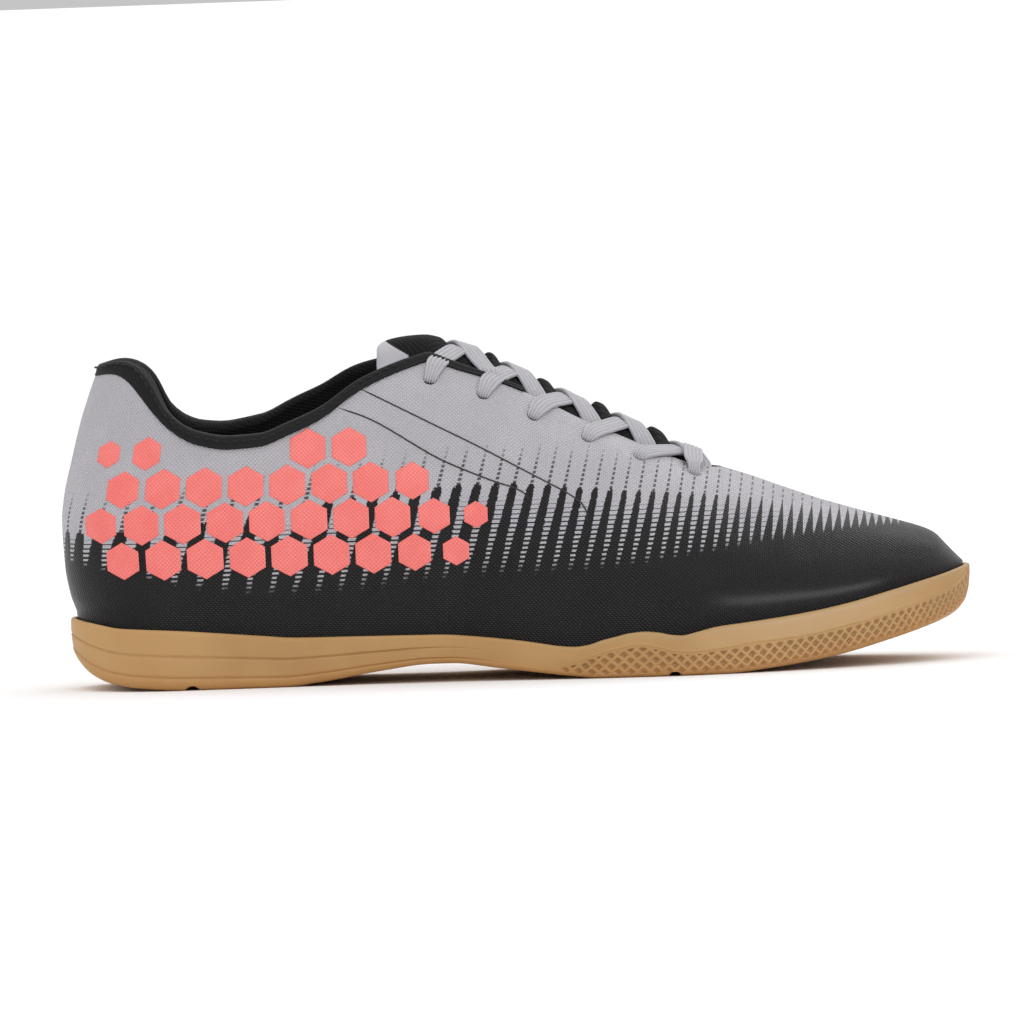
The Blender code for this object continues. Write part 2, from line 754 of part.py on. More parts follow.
def make_upper(surface):
    upper = mesh_object("upper", [UPPER[OUTER], UPPER[INNER]], surface)
    wall = add_wall(upper, UPPER_WALL, "wall")
    group = upper.vertex_groups.new(name="wall")
    for vertex in upper.data.vertices:
        behind_tip = ease((LENGTH - UPPER_INSET - vertex.co.x) / TOE_THINNING)
        group.add([vertex.index], lerp(TOE_WALL_SHARE, 1.0, behind_tip), "REPLACE")
    wall.vertex_group = group.name
    cut(upper, eyelet_punches(), "eyelets")


def eyelet_punches(sides=10):
    rows_of_all = []
    for side in (OUTER, INNER):
        for eyelet in EYELETS:
            point, normal = eyelet_at(side, eyelet)
            across_hole = normal.orthogonal().normalized()
            up_hole = normal.cross(across_hole)
            rows = []
            for r, depth in ((0, 2.5), (1, 2.5), (1, -1.5), (0, -1.5)):
                ring = []
                for i in range(sides):
                    a = 2 * math.pi * i / sides
                    turned = across_hole * math.cos(a) + up_hole * math.sin(a)
                    ring.append(
                        point + turned * r * EYELET_RADIUS - normal * depth * UPPER_WALL
                    )
                rows.append(closed(ring))
            rows_of_all.append(rows)
    return mesh_object("eyelet_punches", rows_of_all, collection=CUTTERS)


# Padded collar: a roll that sits on the upper's edge and hangs down inside it
def collar_share(x):
    """How full the collar's padding is: full round heel and ankle, thin at the throat."""
    return 1 - ease((x - COLLAR_FULL) / (COLLAR_END - COLLAR_FULL))


def collar_section(side, k):
    x = STATIONS[k]
    share = collar_share(x)
    pad = lerp(COLLAR_PAD_END, COLLAR_PAD, share)
    depth = lerp(COLLAR_DEPTH_END, COLLAR_DEPTH, share)
    inside = UPPER_WALL + GAP
    section = UPPER[side][k]
    top = len(section) - 1
    edge = section[top]
    up = (edge - section[top - 1]).normalized()
    out = outward(side, k, top)
    points = [edge + up * GAP]
    for rise, inward in COLLAR_ROLL:
        shift = inward * (inside + pad) if inward > 0 else inward * COLLAR_PROUD
        points.append(edge + up * COLLAR_BAND * rise - out * shift)
    hang = [0.0, 0.45, 0.85]
    for part in hang:
        point, normal = hanging_point(side, k, depth * part)
        swell = pad * (1 - 0.55 * part**2)
        points.append(point - normal * (inside + swell))
    for part in (1.0, 0.55, 0.0):
        point, normal = hanging_point(side, k, depth * part)
        points.append(point - normal * inside)
    points.append(edge + up * GAP - out * inside)
    return points


def make_collar(surface):
    stations = [(OUTER, k) for k in range(COLLAR_STATION, -1, -1)]
    stations += [(INNER, k) for k in range(1, COLLAR_STATION + 1)]
    rows = [collar_section(side, k) for side, k in stations]
    grid = [closed(row) for row in rows]
    mesh_object("collar", [grid], surface, caps=(rows[0], rows[-1]))


# Tongue: follows the inside of the eyestays and crowns up between them
def tongue_offset(x):
    """Depth of the tongue's outer face under the upper's: deeper where the collar pad is."""
    past = ease((x - THROAT_TOP - TONGUE_STEP_START) / TONGUE_STEP)
    pad = (COLLAR_PAD_END + GAP) * (1 - past)
    return UPPER_WALL + GAP + pad


def depth_at_half_width(side, k, half_span):
    """Distance below its edge at which the upper is that far from the ridge line."""
    section = UPPER[side][k]
    middle = ridge_line(STATIONS[k])
    below = 0.0
    for j in range(len(section) - 1, 2, -1):
        near = abs(section[j].y - middle)
        far = abs(section[j - 1].y - middle)
        step = (section[j] - section[j - 1]).length
        if near >= half_span:
            return below
        if far >= half_span:
            return below + step * (half_span - near) / (far - near)
        below += step
    return below


def tongue_section(k):
    """Outer face of the tongue at a station, from its outer side edge to its inner one."""
    x = STATIONS[k]
    offset = tongue_offset(x)
    reach = max(edge_half_width(x), TONGUE_ARCH_MIN)
    sides = {}
    for side in (OUTER, INNER):
        start = depth_at_half_width(side, k, reach)
        end = max(start, depth_at_half_width(side, k, TONGUE_HALF_WIDTH))
        sides[side] = []
        for part in (1.0, 0.5, 0.0):
            point, normal = hanging_point(side, k, lerp(start, end, part))
            sides[side].append(point - normal * offset)
    outer, inner = sides[OUTER][-1], sides[INNER][-1]
    crown = TONGUE_CROWN * ease((THROAT_END - TONGUE_CROWN_END - x) / TONGUE_CROWN_FADE)
    crown += TONGUE_TOP_PAD * (1 - ease((x - THROAT_TOP) / TONGUE_PAD_LENGTH))
    top = ridge_level(x) - offset + crown
    arch = []
    for part in TONGUE_ARCH:
        p = lerp(outer, inner, part)
        p.z += (top - p.z) * (1 - (2 * part - 1) ** 2)
        arch.append(p)
    return sides[OUTER] + arch + sides[INNER][::-1]


def tongue_rows():
    rows = [tongue_section(k) for k in TONGUE_STATIONS]
    base = rows[0]
    middle = base[len(base) // 2]
    tip = []
    for share, width, drop in TONGUE_TIP_ROWS:
        back = (THROAT_TOP - TONGUE_TIP) * share
        shift = Vector((-back, 0.0, -drop * TONGUE_TIP_DROP))
        tip.append([middle + (p - middle) * width + shift for p in base])
    return tip + rows


def make_tongue(surface):
    rows = tongue_rows()
    tongue = mesh_object("tongue", [rows], surface)
    add_wall(tongue, TONGUE_THICKNESS, "padding")


# Laces: flat strands that lie on the eyestays and the tongue, joined where they cross
def instep_level(x, y, bridged):
    """Height of what a strand lies on: the eyestay it starts on, then the tongue."""
    k = min(bisect.bisect_right(STATIONS, x), LAST_STATION) - 1
    t = (x - STATIONS[k]) / (STATIONS[k + 1] - STATIONS[k])
    levels = []
    for station in (k, k + 1):
        line = []
        for side in (OUTER, INNER):
            rows = UPPER[side][station][-5:] if side in bridged else []
            ends = tongue_section(station)
            skip = 1 if side in bridged else 0
            arch = ends[2 + skip : 6] if side == OUTER else ends[-3 - skip : -6 : -1]
            line += (rows + arch) if side == OUTER else (rows + arch)[::-1]
        levels.append(level_on(line, y))
    return lerp(levels[0], levels[1], t)


def level_on(line, y):
    """Height of a section line, ordered by y, at one y."""
    i = min(max(bisect.bisect_right([p.y for p in line], y), 1), len(line) - 1)
    a, b = line[i - 1], line[i]
    return lerp(a.z, b.z, (y - a.y) / (b.y - a.y))


def strand_rows(start, end, bridged, parts, lift=0.0):
    """Rows of points round a flat strand that runs straight in plan from start to end."""
    along = (end - start).normalized()
    wide = Vector((along.y, -along.x)) * (LACE_WIDTH / 2)
    rows = []
    for part in parts:
        low, high = [], []
        for share in (-1.0, 1.0):
            p = lerp(start, end, part) + wide * share
            level = instep_level(p.x, p.y, bridged)
            slope_x = (instep_level(p.x + PROBE, p.y, bridged) - level) / PROBE
            slope_y = (instep_level(p.x, p.y + PROBE, bridged) - level) / PROBE
            normal = Vector((-slope_x, -slope_y, 1.0)).normalized()
            base = Vector((p.x, p.y, level))
            low.append(base + normal * (LACE_CLEARANCE + lift))
            high.append(base + normal * (LACE_CLEARANCE + lift + LACE_THICKNESS))
        rows.append(low + high[::-1])
    return rows


def eyelet_place(side, eyelet):
    point, _ = eyelet_at(side, eyelet)
    return Vector((point.x, point.y))


def make_laces(surface):
    for i, (here, there) in enumerate(zip(EYELETS, EYELETS[1:])):
        crossing = []
        for side, lift in ((OUTER, 0.0), (INNER, CROSSING_LIFT)):
            start = eyelet_place(side, here)
            goal = eyelet_place(-side, there)
            x = goal.x
            stop = ridge_line(x) - side * (edge_half_width(x) - LACE_END_INSET)
            end = lerp(start, goal, (stop - start.y) / (goal.y - start.y))
            crossing.append(strand_rows(start, end, (side,), STRAND_PARTS, lift))
        joined_strands(f"lace_crossing_{i + 1}", crossing, surface)
    ends = [eyelet_place(side, EYELETS[-1]) for side in (OUTER, INNER)]
    joined_strands("lace_bar", [strand_rows(*ends, (OUTER, INNER), BAR_PARTS)], surface)


def joined_strands(name, strands, surface):
    """One lace node: its first strand with the others joined to it."""
    whole = None
    for i, rows in enumerate(strands):
        grid = [closed(row) for row in rows]
        caps = (rows[0], rows[-1])
        if whole is None:
            whole = mesh_object(name, [grid], surface, caps)
            continue
        other = mesh_object(f"{name}_other_{i}", [grid], caps=caps, collection=CUTTERS)
        joining = whole.modifiers.new("crossing", "BOOLEAN")
        joining.operation = "UNION"
        joining.object = other
        hide_cutter(other)


# Assembly
def clear_scene():
    for item in list(bpy.data.objects):
        bpy.data.objects.remove(item)


def new_collection(name):
    made = bpy.data.collections.new(name)
    bpy.context.scene.collection.children.link(made)
    return made


clear_scene()
PARTS = new_collection("indoor_soccer_shoe")
CUTTERS = new_collection("cutters")
SHOE = bpy.data.objects.new("shoe", None)
PARTS.objects.link(SHOE)


def footprint_middle():
    outer = max(-p.y for p, _ in SOLE_EDGE[OUTER])
    inner = max(p.y for p, _ in SOLE_EDGE[INNER])
    return Vector((LENGTH / 2, (inner - outer) / 2, 0.0))


def main():
    make_outsole(material("gum_rubber", (0.62, 0.36, 0.15), 0.55))
    make_insole(material("insole_fabric", (0.03, 0.03, 0.033), 0.9))
    make_upper(material("upper_synthetic", (0.40, 0.39, 0.41), 0.45))
    make_collar(material("collar_fabric", (0.012, 0.012, 0.014), 0.85))
    make_tongue(material("tongue_fabric", (0.015, 0.015, 0.017), 0.85))
    make_laces(material("lace_fabric", (0.50, 0.49, 0.51), 0.8))
    SHOE.location = -footprint_middle()


main()
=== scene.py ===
"""Looks of a right indoor soccer shoe: print, grain, laces, padding, stitching and gum sole.

Metres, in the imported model's frame: +X from heel to toe, +Y to the inner side, +Z up, and the
floor at z = 0. Shapes are worked out with the heel at x = 0, and to_frame() moves them.
"""

import math

import bmesh
import bpy
import numpy as np
from mathutils import Matrix, Vector
from mathutils.kdtree import KDTree


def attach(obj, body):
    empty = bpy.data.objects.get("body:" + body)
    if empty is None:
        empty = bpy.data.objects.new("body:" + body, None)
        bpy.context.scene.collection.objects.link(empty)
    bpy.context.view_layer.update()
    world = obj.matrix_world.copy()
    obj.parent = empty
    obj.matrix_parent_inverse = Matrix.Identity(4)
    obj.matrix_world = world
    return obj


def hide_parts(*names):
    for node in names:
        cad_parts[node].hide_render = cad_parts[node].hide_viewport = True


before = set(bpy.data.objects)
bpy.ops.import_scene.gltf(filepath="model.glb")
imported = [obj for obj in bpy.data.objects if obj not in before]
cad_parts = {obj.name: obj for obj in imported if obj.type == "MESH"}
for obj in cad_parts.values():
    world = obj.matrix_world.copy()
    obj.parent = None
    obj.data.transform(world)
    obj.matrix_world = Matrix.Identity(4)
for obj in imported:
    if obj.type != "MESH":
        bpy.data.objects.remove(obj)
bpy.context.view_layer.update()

OUTER, INNER = -1, 1
MM = 0.001

# Sizes of the last and the sole
LENGTH = 0.285
BALL_WIDTH = 0.097
HEEL_WIDTH = 0.069
SOLE_BACK = 0.002
HEEL_ROUND = 0.035
TOE_ROUND = 0.075
HEEL_STACK = 0.018
BALL_STACK = 0.0128
HEEL_BEVEL = 0.017
ARCH_RISE = 0.006
TOE_SPRING = 0.013
RIM_WALL = 0.0017
GROOVE_WIDTH = 0.0026
GROOVE_DEPTH = 0.0016
PIVOT_RADIUS = 0.017

# Sizes of the upper
UPPER_WALL = 0.0019
TOE_WALL_SHARE = 0.2
TOE_THINNING = 0.008
HEEL_TAB_HEIGHT = 0.0995
ANKLE_HEIGHT = 0.075
INNER_ANKLE_RISE = 0.0047
INNER_RISE_SKEW = 1.6
THROAT_TOP_HEIGHT = 0.0998
VAMP_RIDGE = 0.0626
TOE_BOX_RIDGE = 0.0376
COLLAR_WIDTH = 0.06
THROAT_WIDTH = 0.031
THROAT_TOP = 0.117
THROAT_END = 0.208
THROAT_END_ROUND = 0.011
EYESTAY_BEND = 0.028
INSTEP_RIDGE = THROAT_TOP_HEIGHT + (THROAT_WIDTH / 2) ** 2 / (2 * EYESTAY_BEND)
COUNTER_BULGE = 0.004
HEEL_LEAN = 0.0096
LEAN_FADE = 0.11

# Collar, tongue, insole and laces
COLLAR_FULL = 0.07
COLLAR_END = 0.111
COLLAR_BAND = 0.0042
COLLAR_PAD = 0.0068
COLLAR_PAD_END = 0.0012
COLLAR_DEPTH = 0.024
COLLAR_DEPTH_END = 0.008
TONGUE_THICKNESS = 0.0036
TONGUE_TIP = 0.1005
TONGUE_TIP_DROP = 0.0035
TONGUE_FRONT = 0.224
TONGUE_HALF_WIDTH = 0.021
LACE_TUNNEL = 0.0017
INSOLE_THICKNESS = 0.0035
EYELET_RADIUS = 0.0021
LACE_WIDTH = 0.0064
LACE_THICKNESS = 0.0013

GAP = 0.0004
LIP_GAP = 0.0005
UPPER_INSET = RIM_WALL + GAP
INSOLE_INSET = UPPER_INSET + UPPER_WALL + GAP

# Along the shoe, then shares of: centre and ridge of half the ball width, and the half width's
# heel and ball parts
PLAN = [
    (0.0, 0.0, 0.0, 1.0, 0.0),
    (0.14, 0.0, 0.0, 1.0, 0.0),
    (0.21, -0.015, 0.0, 0.99, 0.0),
    (0.28, -0.05, 0.0, 0.94, 0.0),
    (0.35, -0.09, 0.0, 0.85, 0.05),
    (0.42, -0.12, 0.0, 0.6, 0.24),
    (0.49, -0.13, 0.02, 0.3, 0.52),
    (0.56, -0.11, 0.05, 0.1, 0.765),
    (0.63, -0.07, 0.08, 0.0, 0.938),
    (0.7, -0.015, 0.11, 0.0, 1.0),
    (0.77, 0.03, 0.13, 0.0, 0.975),
    (0.825, 0.065, 0.15, 0.0, 0.935),
    (0.877, 0.095, 0.16, 0.0, 0.905),
    (0.93, 0.125, 0.17, 0.0, 0.89),
    (1.0, 0.175, 0.175, 0.0, 0.89),
]
# Underside: shares of the heel bevel, the arch's rise and the toe spring
UNDERSIDE = [
    (0.0, 0.92, 0.0, 0.0),
    (0.014, 0.54, 0.0, 0.0),
    (0.035, 0.26, 0.0, 0.0),
    (0.056, 0.13, 0.0, 0.0),
    (0.088, 0.05, 0.0, 0.0),
    (0.14, 0.0, 0.0, 0.0),
    (0.24, 0.0, 0.0, 0.0),
    (0.283, 0.0, 0.21, 0.0),
    (0.348, 0.0, 0.68, 0.0),
    (0.405, 0.0, 0.97, 0.0),
    (0.425, 0.0, 0.97, 0.0),
    (0.478, 0.0, 0.65, 0.0),
    (0.55, 0.0, 0.19, 0.0),
    (0.59, 0.0, 0.0, 0.0),
    (0.72, 0.0, 0.0, 0.0),
    (0.777, 0.0, 0.0, 0.1),
    (0.816, 0.0, 0.0, 0.2),
    (0.857, 0.0, 0.0, 0.35),
    (0.905, 0.0, 0.0, 0.6),
    (0.944, 0.0, 0.0, 0.83),
    (0.96, 0.0, 0.0, 0.94),
    (0.979, 0.0, 0.0, 1.11),
    (0.993, 0.0, 0.0, 1.36),
    (1.0, 0.0, 0.0, 1.74),
]
# Rim of the cup and the bed inside it: shares of heel stack, ball stack and toe spring
RIM = [
    (0.0, 1.28, 0.0, 0.0),
    (0.037, 1.172, 0.0, 0.0),
    (0.06, 1.106, 0.0, 0.0),
    (0.09, 1.078, 0.0, 0.0),
    (0.126, 1.044, 0.0, 0.0),
    (0.17, 0.983, 0.0, 0.0),
    (0.214, 0.917, 0.0, 0.0),
    (0.258, 0.86, 0.0, 0.0),
    (0.33, 0.846, 0.0, 0.0),
    (0.39, 0.838, 0.0, 0.0),
    (0.413, 0.7, 0.188, 0.0),
    (0.446, 0.5, 0.414, 0.0),
    (0.5, 0.2, 0.695, 0.0),
    (0.523, 0.12, 0.722, 0.0),
    (0.545, 0.05, 0.742, 0.0),
    (0.56, 0.0, 0.789, 0.0),
    (0.575, 0.0, 0.828, 0.0),
    (0.59, 0.0, 0.93, 0.0),
    (0.605, 0.0, 1.008, 0.0),
    (0.622, 0.0, 1.086, 0.0),
    (0.636, 0.0, 1.109, 0.0),
    (0.652, 0.0, 1.078, 0.0),
    (0.665, 0.0, 1.016, 0.0),
    (0.678, 0.0, 0.988, 0.0),
    (0.692, 0.0, 1.047, 0.0),
    (0.718, 0.0, 1.172, 0.0),
    (0.745, 0.0, 1.19, 0.04),
    (0.785, 0.0, 1.19, 0.13),
    (0.825, 0.0, 1.19, 0.24),
    (0.865, 0.0, 1.19, 0.39),
    (0.905, 0.0, 1.19, 0.59),
    (0.946, 0.0, 1.19, 0.8),
    (0.972, 0.0, 1.19, 0.93),
    (1.0, 0.0, 1.19, 1.09),
]
BED = [
    (0.0, 0.8, 0.0, 0.0),
    (0.09, 0.72, 0.0, 0.0),
    (0.21, 0.64, 0.0, 0.0),
    (0.32, 0.57, 0.0, 0.0),
    (0.42, 0.4, 0.16, 0.0),
    (0.5, 0.18, 0.36, 0.0),
    (0.58, 0.0, 0.53, 0.0),
    (0.65, 0.0, 0.51, 0.0),
    (0.72, 0.0, 0.56, 0.0),
    (0.78, 0.0, 0.62, 0.16),
    (0.86, 0.0, 0.66, 0.53),
    (0.91, 0.0, 0.68, 0.77),
    (0.95, 0.0, 0.7, 0.92),
    (1.0, 0.0, 0.72, 1.1),
]
# Side of the sole: share of the way up, and how far it steps in
SOLE_SIDE = [
    (0.0, 0.0026),
    (0.03, 0.00165),
    (0.08, 0.00082),
    (0.13, 0.00046),
    (0.3, 0.00026),
    (0.43, 0.00012),
    (0.58, 0.00002),
    (0.9, 0.00004),
    (0.96, 0.00022),
    (0.99, 0.0006),
    (1.0, 0.00095),
]
# Height of the upper's edge round the collar, and half width of its opening
COLLAR_EDGE = [
    (0.014, 0.99, 0.0, 0.0),
    (0.03, 1.004, 0.0, 0.0),
    (0.055, 1.0, 0.0, 0.0),
    (0.07, 0.89, 0.11, 0.0),
    (0.091, 0.66, 0.34, 0.0),
    (0.113, 0.36, 0.64, 0.0),
    (0.134, 0.175, 0.825, 0.0),
    (0.154, 0.07, 0.93, 0.0),
    (0.188, 0.0, 1.0, 0.0),
    (0.223, 0.0, 0.98, 0.02),
    (0.255, 0.0, 0.85, 0.15),
    (0.289, 0.0, 0.68, 0.32),
    (0.335, 0.0, 0.33, 0.67),
    (0.379, 0.0, 0.115, 0.885),
    (0.411, 0.0, 0.0, 1.0),
]
EDGE_HALF_WIDTH = [
    (0.014, 0.8, 0.0),
    (0.052, 0.83, 0.0),
    (0.085, 0.88, 0.0),
    (0.133, 0.97, 0.0),
    (0.188, 1.0, 0.0),
    (0.255, 0.94, 0.02),
    (0.3, 0.78, 0.15),
    (0.34, 0.55, 0.34),
    (0.38, 0.2, 0.77),
    (0.411, 0.0, 1.0),
    (0.5, 0.0, 0.94),
    (0.6, 0.0, 0.82),
    (0.68, 0.0, 0.69),
    (0.73, 0.0, 0.6),
]
# Top line of the last: shares of the instep, vamp and toe box heights
RIDGE = [
    (0.365, 1.018, 0.0, 0.0),
    (0.39, 1.014, 0.0, 0.0),
    (0.411, 1.0, 0.0, 0.0),
    (0.442, 0.918, 0.082, 0.0),
    (0.481, 0.822, 0.178, 0.0),
    (0.505, 0.748, 0.252, 0.0),
    (0.533, 0.651, 0.349, 0.0),
    (0.575, 0.486, 0.514, 0.0),
    (0.621, 0.327, 0.673, 0.0),
    (0.663, 0.183, 0.817, 0.0),
    (0.705, 0.058, 0.942, 0.0),
    (0.73, 0.0, 1.0, 0.0),
    (0.761, 0.0, 0.88, 0.12),
    (0.799, 0.0, 0.717, 0.283),
    (0.836, 0.0, 0.56, 0.44),
    (0.876, 0.0, 0.415, 0.585),
    (0.916, 0.0, 0.278, 0.722),
    (0.942, 0.0, 0.19, 0.81),
    (0.955, 0.0, 0.14, 0.86),
    (0.968, 0.0, 0.066, 0.934),
    (0.98, 0.0, 0.0, 0.952),
    (0.988, 0.0, 0.0, 0.89),
    (0.995, 0.0, 0.0, 0.838),
    (1.0, 0.0, 0.0, 0.803),
]
# Bends of the upper's sections: belly, belly_up, shoulder, shoulder_up, inner_rise
SECTIONS = [
    (0.014, 1.05, 0.35, 0.86, 0.72, 0.0),
    (0.09, 1.06, 0.35, 0.92, 0.72, 0.0),
    (0.19, 1.07, 0.33, 0.98, 0.7, 0.0),
    (0.3, 1.1, 0.34, 0.97, 0.72, 0.04),
    (0.411, 1.18, 0.36, 0.92, 0.77, 0.12),
    (0.526, 1.13, 0.38, 0.87, 0.83, 0.1),
    (0.63, 1.08, 0.4, 0.78, 0.92, 0.04),
    (0.73, 1.05, 0.42, 0.64, 1.0, 0.0),
    (0.807, 1.04, 0.46, 0.6, 1.0, 0.0),
    (0.877, 1.03, 0.5, 0.58, 1.0, 0.0),
    (0.95, 1.02, 0.55, 0.58, 1.0, 0.0),
    (0.993, 1.0, 0.6, 0.55, 1.0, 0.0),
]
# Back line of the heel by height: shares of the counter's bulge and of the lean
HEEL_BACK = [
    (0.245, 0.0, 0.0),
    (0.3, 0.5, 0.0),
    (0.39, 0.88, 0.0),
    (0.53, 1.0, 0.0),
    (0.61, 0.85, 0.04),
    (0.72, 0.6, 0.24),
    (0.85, 0.2, 0.47),
    (0.93, 0.0, 0.7),
    (1.0, 0.0, 1.0),
    (1.1, 0.0, 1.38),
]
# Eyelets of one side: place along, and distance from the edge of the throat
EYELETS = (
    (0.1175, 0.0072),
    (0.1336, 0.0079),
    (0.1489, 0.0106),
    (0.1656, 0.0118),
    (0.1819, 0.0128),
    (0.199, 0.0122),
)
# Top of the tongue over the last's top line: where it swells free of the laces, and under them
TONGUE_TOP = (
    (0.117, 0.0034, 0.0012),
    (0.128, 0.0044, 0.0014),
    (0.1365, 0.0044, 0.0006),
    (0.151, 0.0032, 0.0),
    (0.166, 0.0046, 0.0004),
    (0.1825, 0.005, 0.001),
    (0.2, 0.0022, -0.0004),
    (0.206, -0.0027, -0.0027),
)
# Soft troughs and ridges of the worn flex and quarter, in metres: place along and height,
# reach along and up, lean of the fold in degrees, and depth inward
CREASES = [
    (0.216, 0.05, 0.0035, 0.016, 24.0, 0.0005),
    (0.224, 0.046, 0.004, 0.015, 20.0, -0.0003),
    (0.232, 0.042, 0.0038, 0.014, 16.0, 0.00045),
    (0.15, 0.068, 0.006, 0.018, -30.0, 0.0005),
    (0.176, 0.058, 0.006, 0.016, -26.0, 0.0004),
    (0.118, 0.066, 0.008, 0.016, 38.0, 0.0007),
    (0.104, 0.052, 0.007, 0.016, 30.0, -0.0004),
    (0.046, 0.058, 0.008, 0.02, -20.0, 0.00045),
]


def smooth_curve(xs, ys):
    """Function that runs smoothly through points, with no overshoot."""
    xs, ys = np.array(xs, float), np.array(ys, float)
    chords = np.diff(ys) / np.diff(xs)
    slopes = [chords[0]]
    for before, after in zip(chords, chords[1:]):
        slopes.append(0.0 if before * after <= 0 else 2 * before * after / (before + after))
    slopes = np.array([*slopes, chords[-1]])

    def value(along):
        along = np.clip(along, xs[0], xs[-1])
        i = np.clip(np.searchsorted(xs, along, side="right") - 1, 0, len(xs) - 2)
        width = xs[i + 1] - xs[i]
        t = (along - xs[i]) / width
        rise = (ys[i + 1] - ys[i]) * t * t * (3 - 2 * t)
        bend = slopes[i] * (1 - t) - slopes[i + 1] * t
        return ys[i] + rise + bend * width * t * (1 - t)

    return value


def sized_curve(rows, *sizes, unit=LENGTH):
    """Smooth line through a table's rows: the sums of the other columns times their sizes."""
    sums = [sum(share * size for share, size in zip(row[1:], sizes)) for row in rows]
    curve = smooth_curve([row[0] for row in rows], sums)
    return lambda x: curve(np.asarray(x) / unit)


def column(i):
    return sized_curve(SECTIONS, *[1.0 if j == i else 0.0 for j in range(5)])


half_ball, half_heel = BALL_WIDTH / 2, HEEL_WIDTH / 2
centre_line = sized_curve(PLAN, half_ball, 0, 0, 0)
ridge_line = sized_curve(PLAN, 0, half_ball, 0, 0)
half_width = sized_curve(PLAN, 0, 0, half_heel, half_ball)
underside = sized_curve(UNDERSIDE, HEEL_BEVEL, ARCH_RISE, TOE_SPRING)
rim_level = sized_curve(RIM, HEEL_STACK, BALL_STACK, TOE_SPRING)
bed_level = sized_curve(BED, HEEL_STACK, BALL_STACK, TOE_SPRING)
collar_edge = sized_curve(COLLAR_EDGE, HEEL_TAB_HEIGHT, ANKLE_HEIGHT, THROAT_TOP_HEIGHT)
open_half_width = sized_curve(EDGE_HALF_WIDTH, COLLAR_WIDTH / 2, THROAT_WIDTH / 2)
ridge_level = sized_curve(RIDGE, INSTEP_RIDGE, VAMP_RIDGE, TOE_BOX_RIDGE)
belly, belly_up, shoulder, shoulder_up, inner_rise = (column(i) for i in range(5))
tongue_free = smooth_curve([row[0] for row in TONGUE_TOP], [row[1] for row in TONGUE_TOP])
tongue_pressed = smooth_curve([row[0] for row in TONGUE_TOP], [row[2] for row in TONGUE_TOP])
back_shift = sized_curve(HEEL_BACK, -COUNTER_BULGE, HEEL_LEAN, unit=HEEL_TAB_HEIGHT)
side_step = smooth_curve(*zip(*SOLE_SIDE))


def lerp(a, b, t):
    return a + (b - a) * t


def ease(t):
    t = np.clip(t, 0.0, 1.0)
    return t * t * (3 - 2 * t)


def round_share(depth, radius):
    """Share of its full width that a rounded end has at a depth behind its tip."""
    return np.sqrt(1 - (1 - np.clip(depth / radius, 0.0, 1.0)) ** 2)


def unit(v):
    v = np.asarray(v, float)
    return v / np.maximum(np.linalg.norm(v, axis=-1, keepdims=True), 1e-12)


def run_lengths(points):
    """Distance along a line of points, from its first point."""
    steps = np.linalg.norm(np.diff(points, axis=0), axis=-1)
    return np.concatenate([[0.0], np.cumsum(steps)])


def evenly(points, step):
    """The same line with points about a step apart; columns past the third are only carried."""
    s = run_lengths(points[:, :3])
    even = np.linspace(0, s[-1], max(3, int(s[-1] / step) + 1))
    return np.stack([np.interp(even, s, points[:, i]) for i in range(points.shape[1])], -1)


def rounded_line(points, parts=8, closed=False):
    """A smooth line through points, with several parts between each two."""
    p = np.asarray(points, float)
    if closed:
        p = np.concatenate([p[-1:], p, p[:2]])
    else:
        p = np.concatenate([2 * p[:1] - p[1:2], p, 2 * p[-1:] - p[-2:-1]])
    t = (np.arange(parts) / parts)[:, None]
    made = []
    for a, b, c, d in zip(p, p[1:], p[2:], p[3:]):
        made.append(
            0.5 * (2 * b + (c - a) * t + (2 * a - 5 * b + 4 * c - d) * t**2
                   + (3 * b - a - 3 * c + d) * t**3)
        )
    made = np.concatenate(made)
    return made if closed else np.concatenate([made, p[-2:-1]])


# Camera: level with the photo's view of the outer side, 2.5 degrees up and rolled 2.04 degrees
VIEW_WIDTH = 0.3208
VIEW_MIDDLE = Vector((0.1417 - LENGTH / 2, -0.01, 0.0512))
VIEW_UP = math.radians(2.5)
VIEW_ROLL = math.radians(2.04)
LENS, SENSOR = 500.0, 36.0


def make_camera():
    data = bpy.data.cameras.new("camera")
    data.lens = LENS
    data.sensor_width = SENSOR
    camera = bpy.data.objects.new("camera", data)
    bpy.context.scene.collection.objects.link(camera)
    back = Vector((0.0, -math.cos(VIEW_UP), math.sin(VIEW_UP)))
    turn = (-back).to_track_quat("-Z", "Y").to_matrix().to_4x4()
    camera.matrix_world = (
        Matrix.Translation(VIEW_MIDDLE + back * VIEW_WIDTH * LENS / SENSOR)
        @ turn
        @ Matrix.Rotation(-VIEW_ROLL, 4, "Z")
    )
    bpy.context.scene.camera = camera


make_camera()


# Shader values that can be written in plain arithmetic
class Value:
    def __init__(self, graph, socket):
        self.graph, self.socket = graph, socket

    def __add__(self, other):
        return self.graph.math("ADD", self, other)

    def __radd__(self, other):
        return self.graph.math("ADD", other, self)

    def __sub__(self, other):
        return self.graph.math("SUBTRACT", self, other)

    def __rsub__(self, other):
        return self.graph.math("SUBTRACT", other, self)

    def __mul__(self, other):
        return self.graph.math("MULTIPLY", self, other)

    __rmul__ = __mul__

    def __truediv__(self, other):
        return self.graph.math("DIVIDE", self, other)

    def __abs__(self):
        return self.graph.math("ABSOLUTE", self)

    def fract(self):
        return self.graph.math("FRACT", self)

    def sin(self):
        return self.graph.math("SINE", self)

    def power(self, exponent):
        return self.graph.math("POWER", self, exponent)

    def log(self):
        return self.graph.math("LOGARITHM", self, math.e)

    def over(self, low, high):
        """0 up to low, 1 from high on, and a soft step between."""
        return self.graph.step(self, low, high)


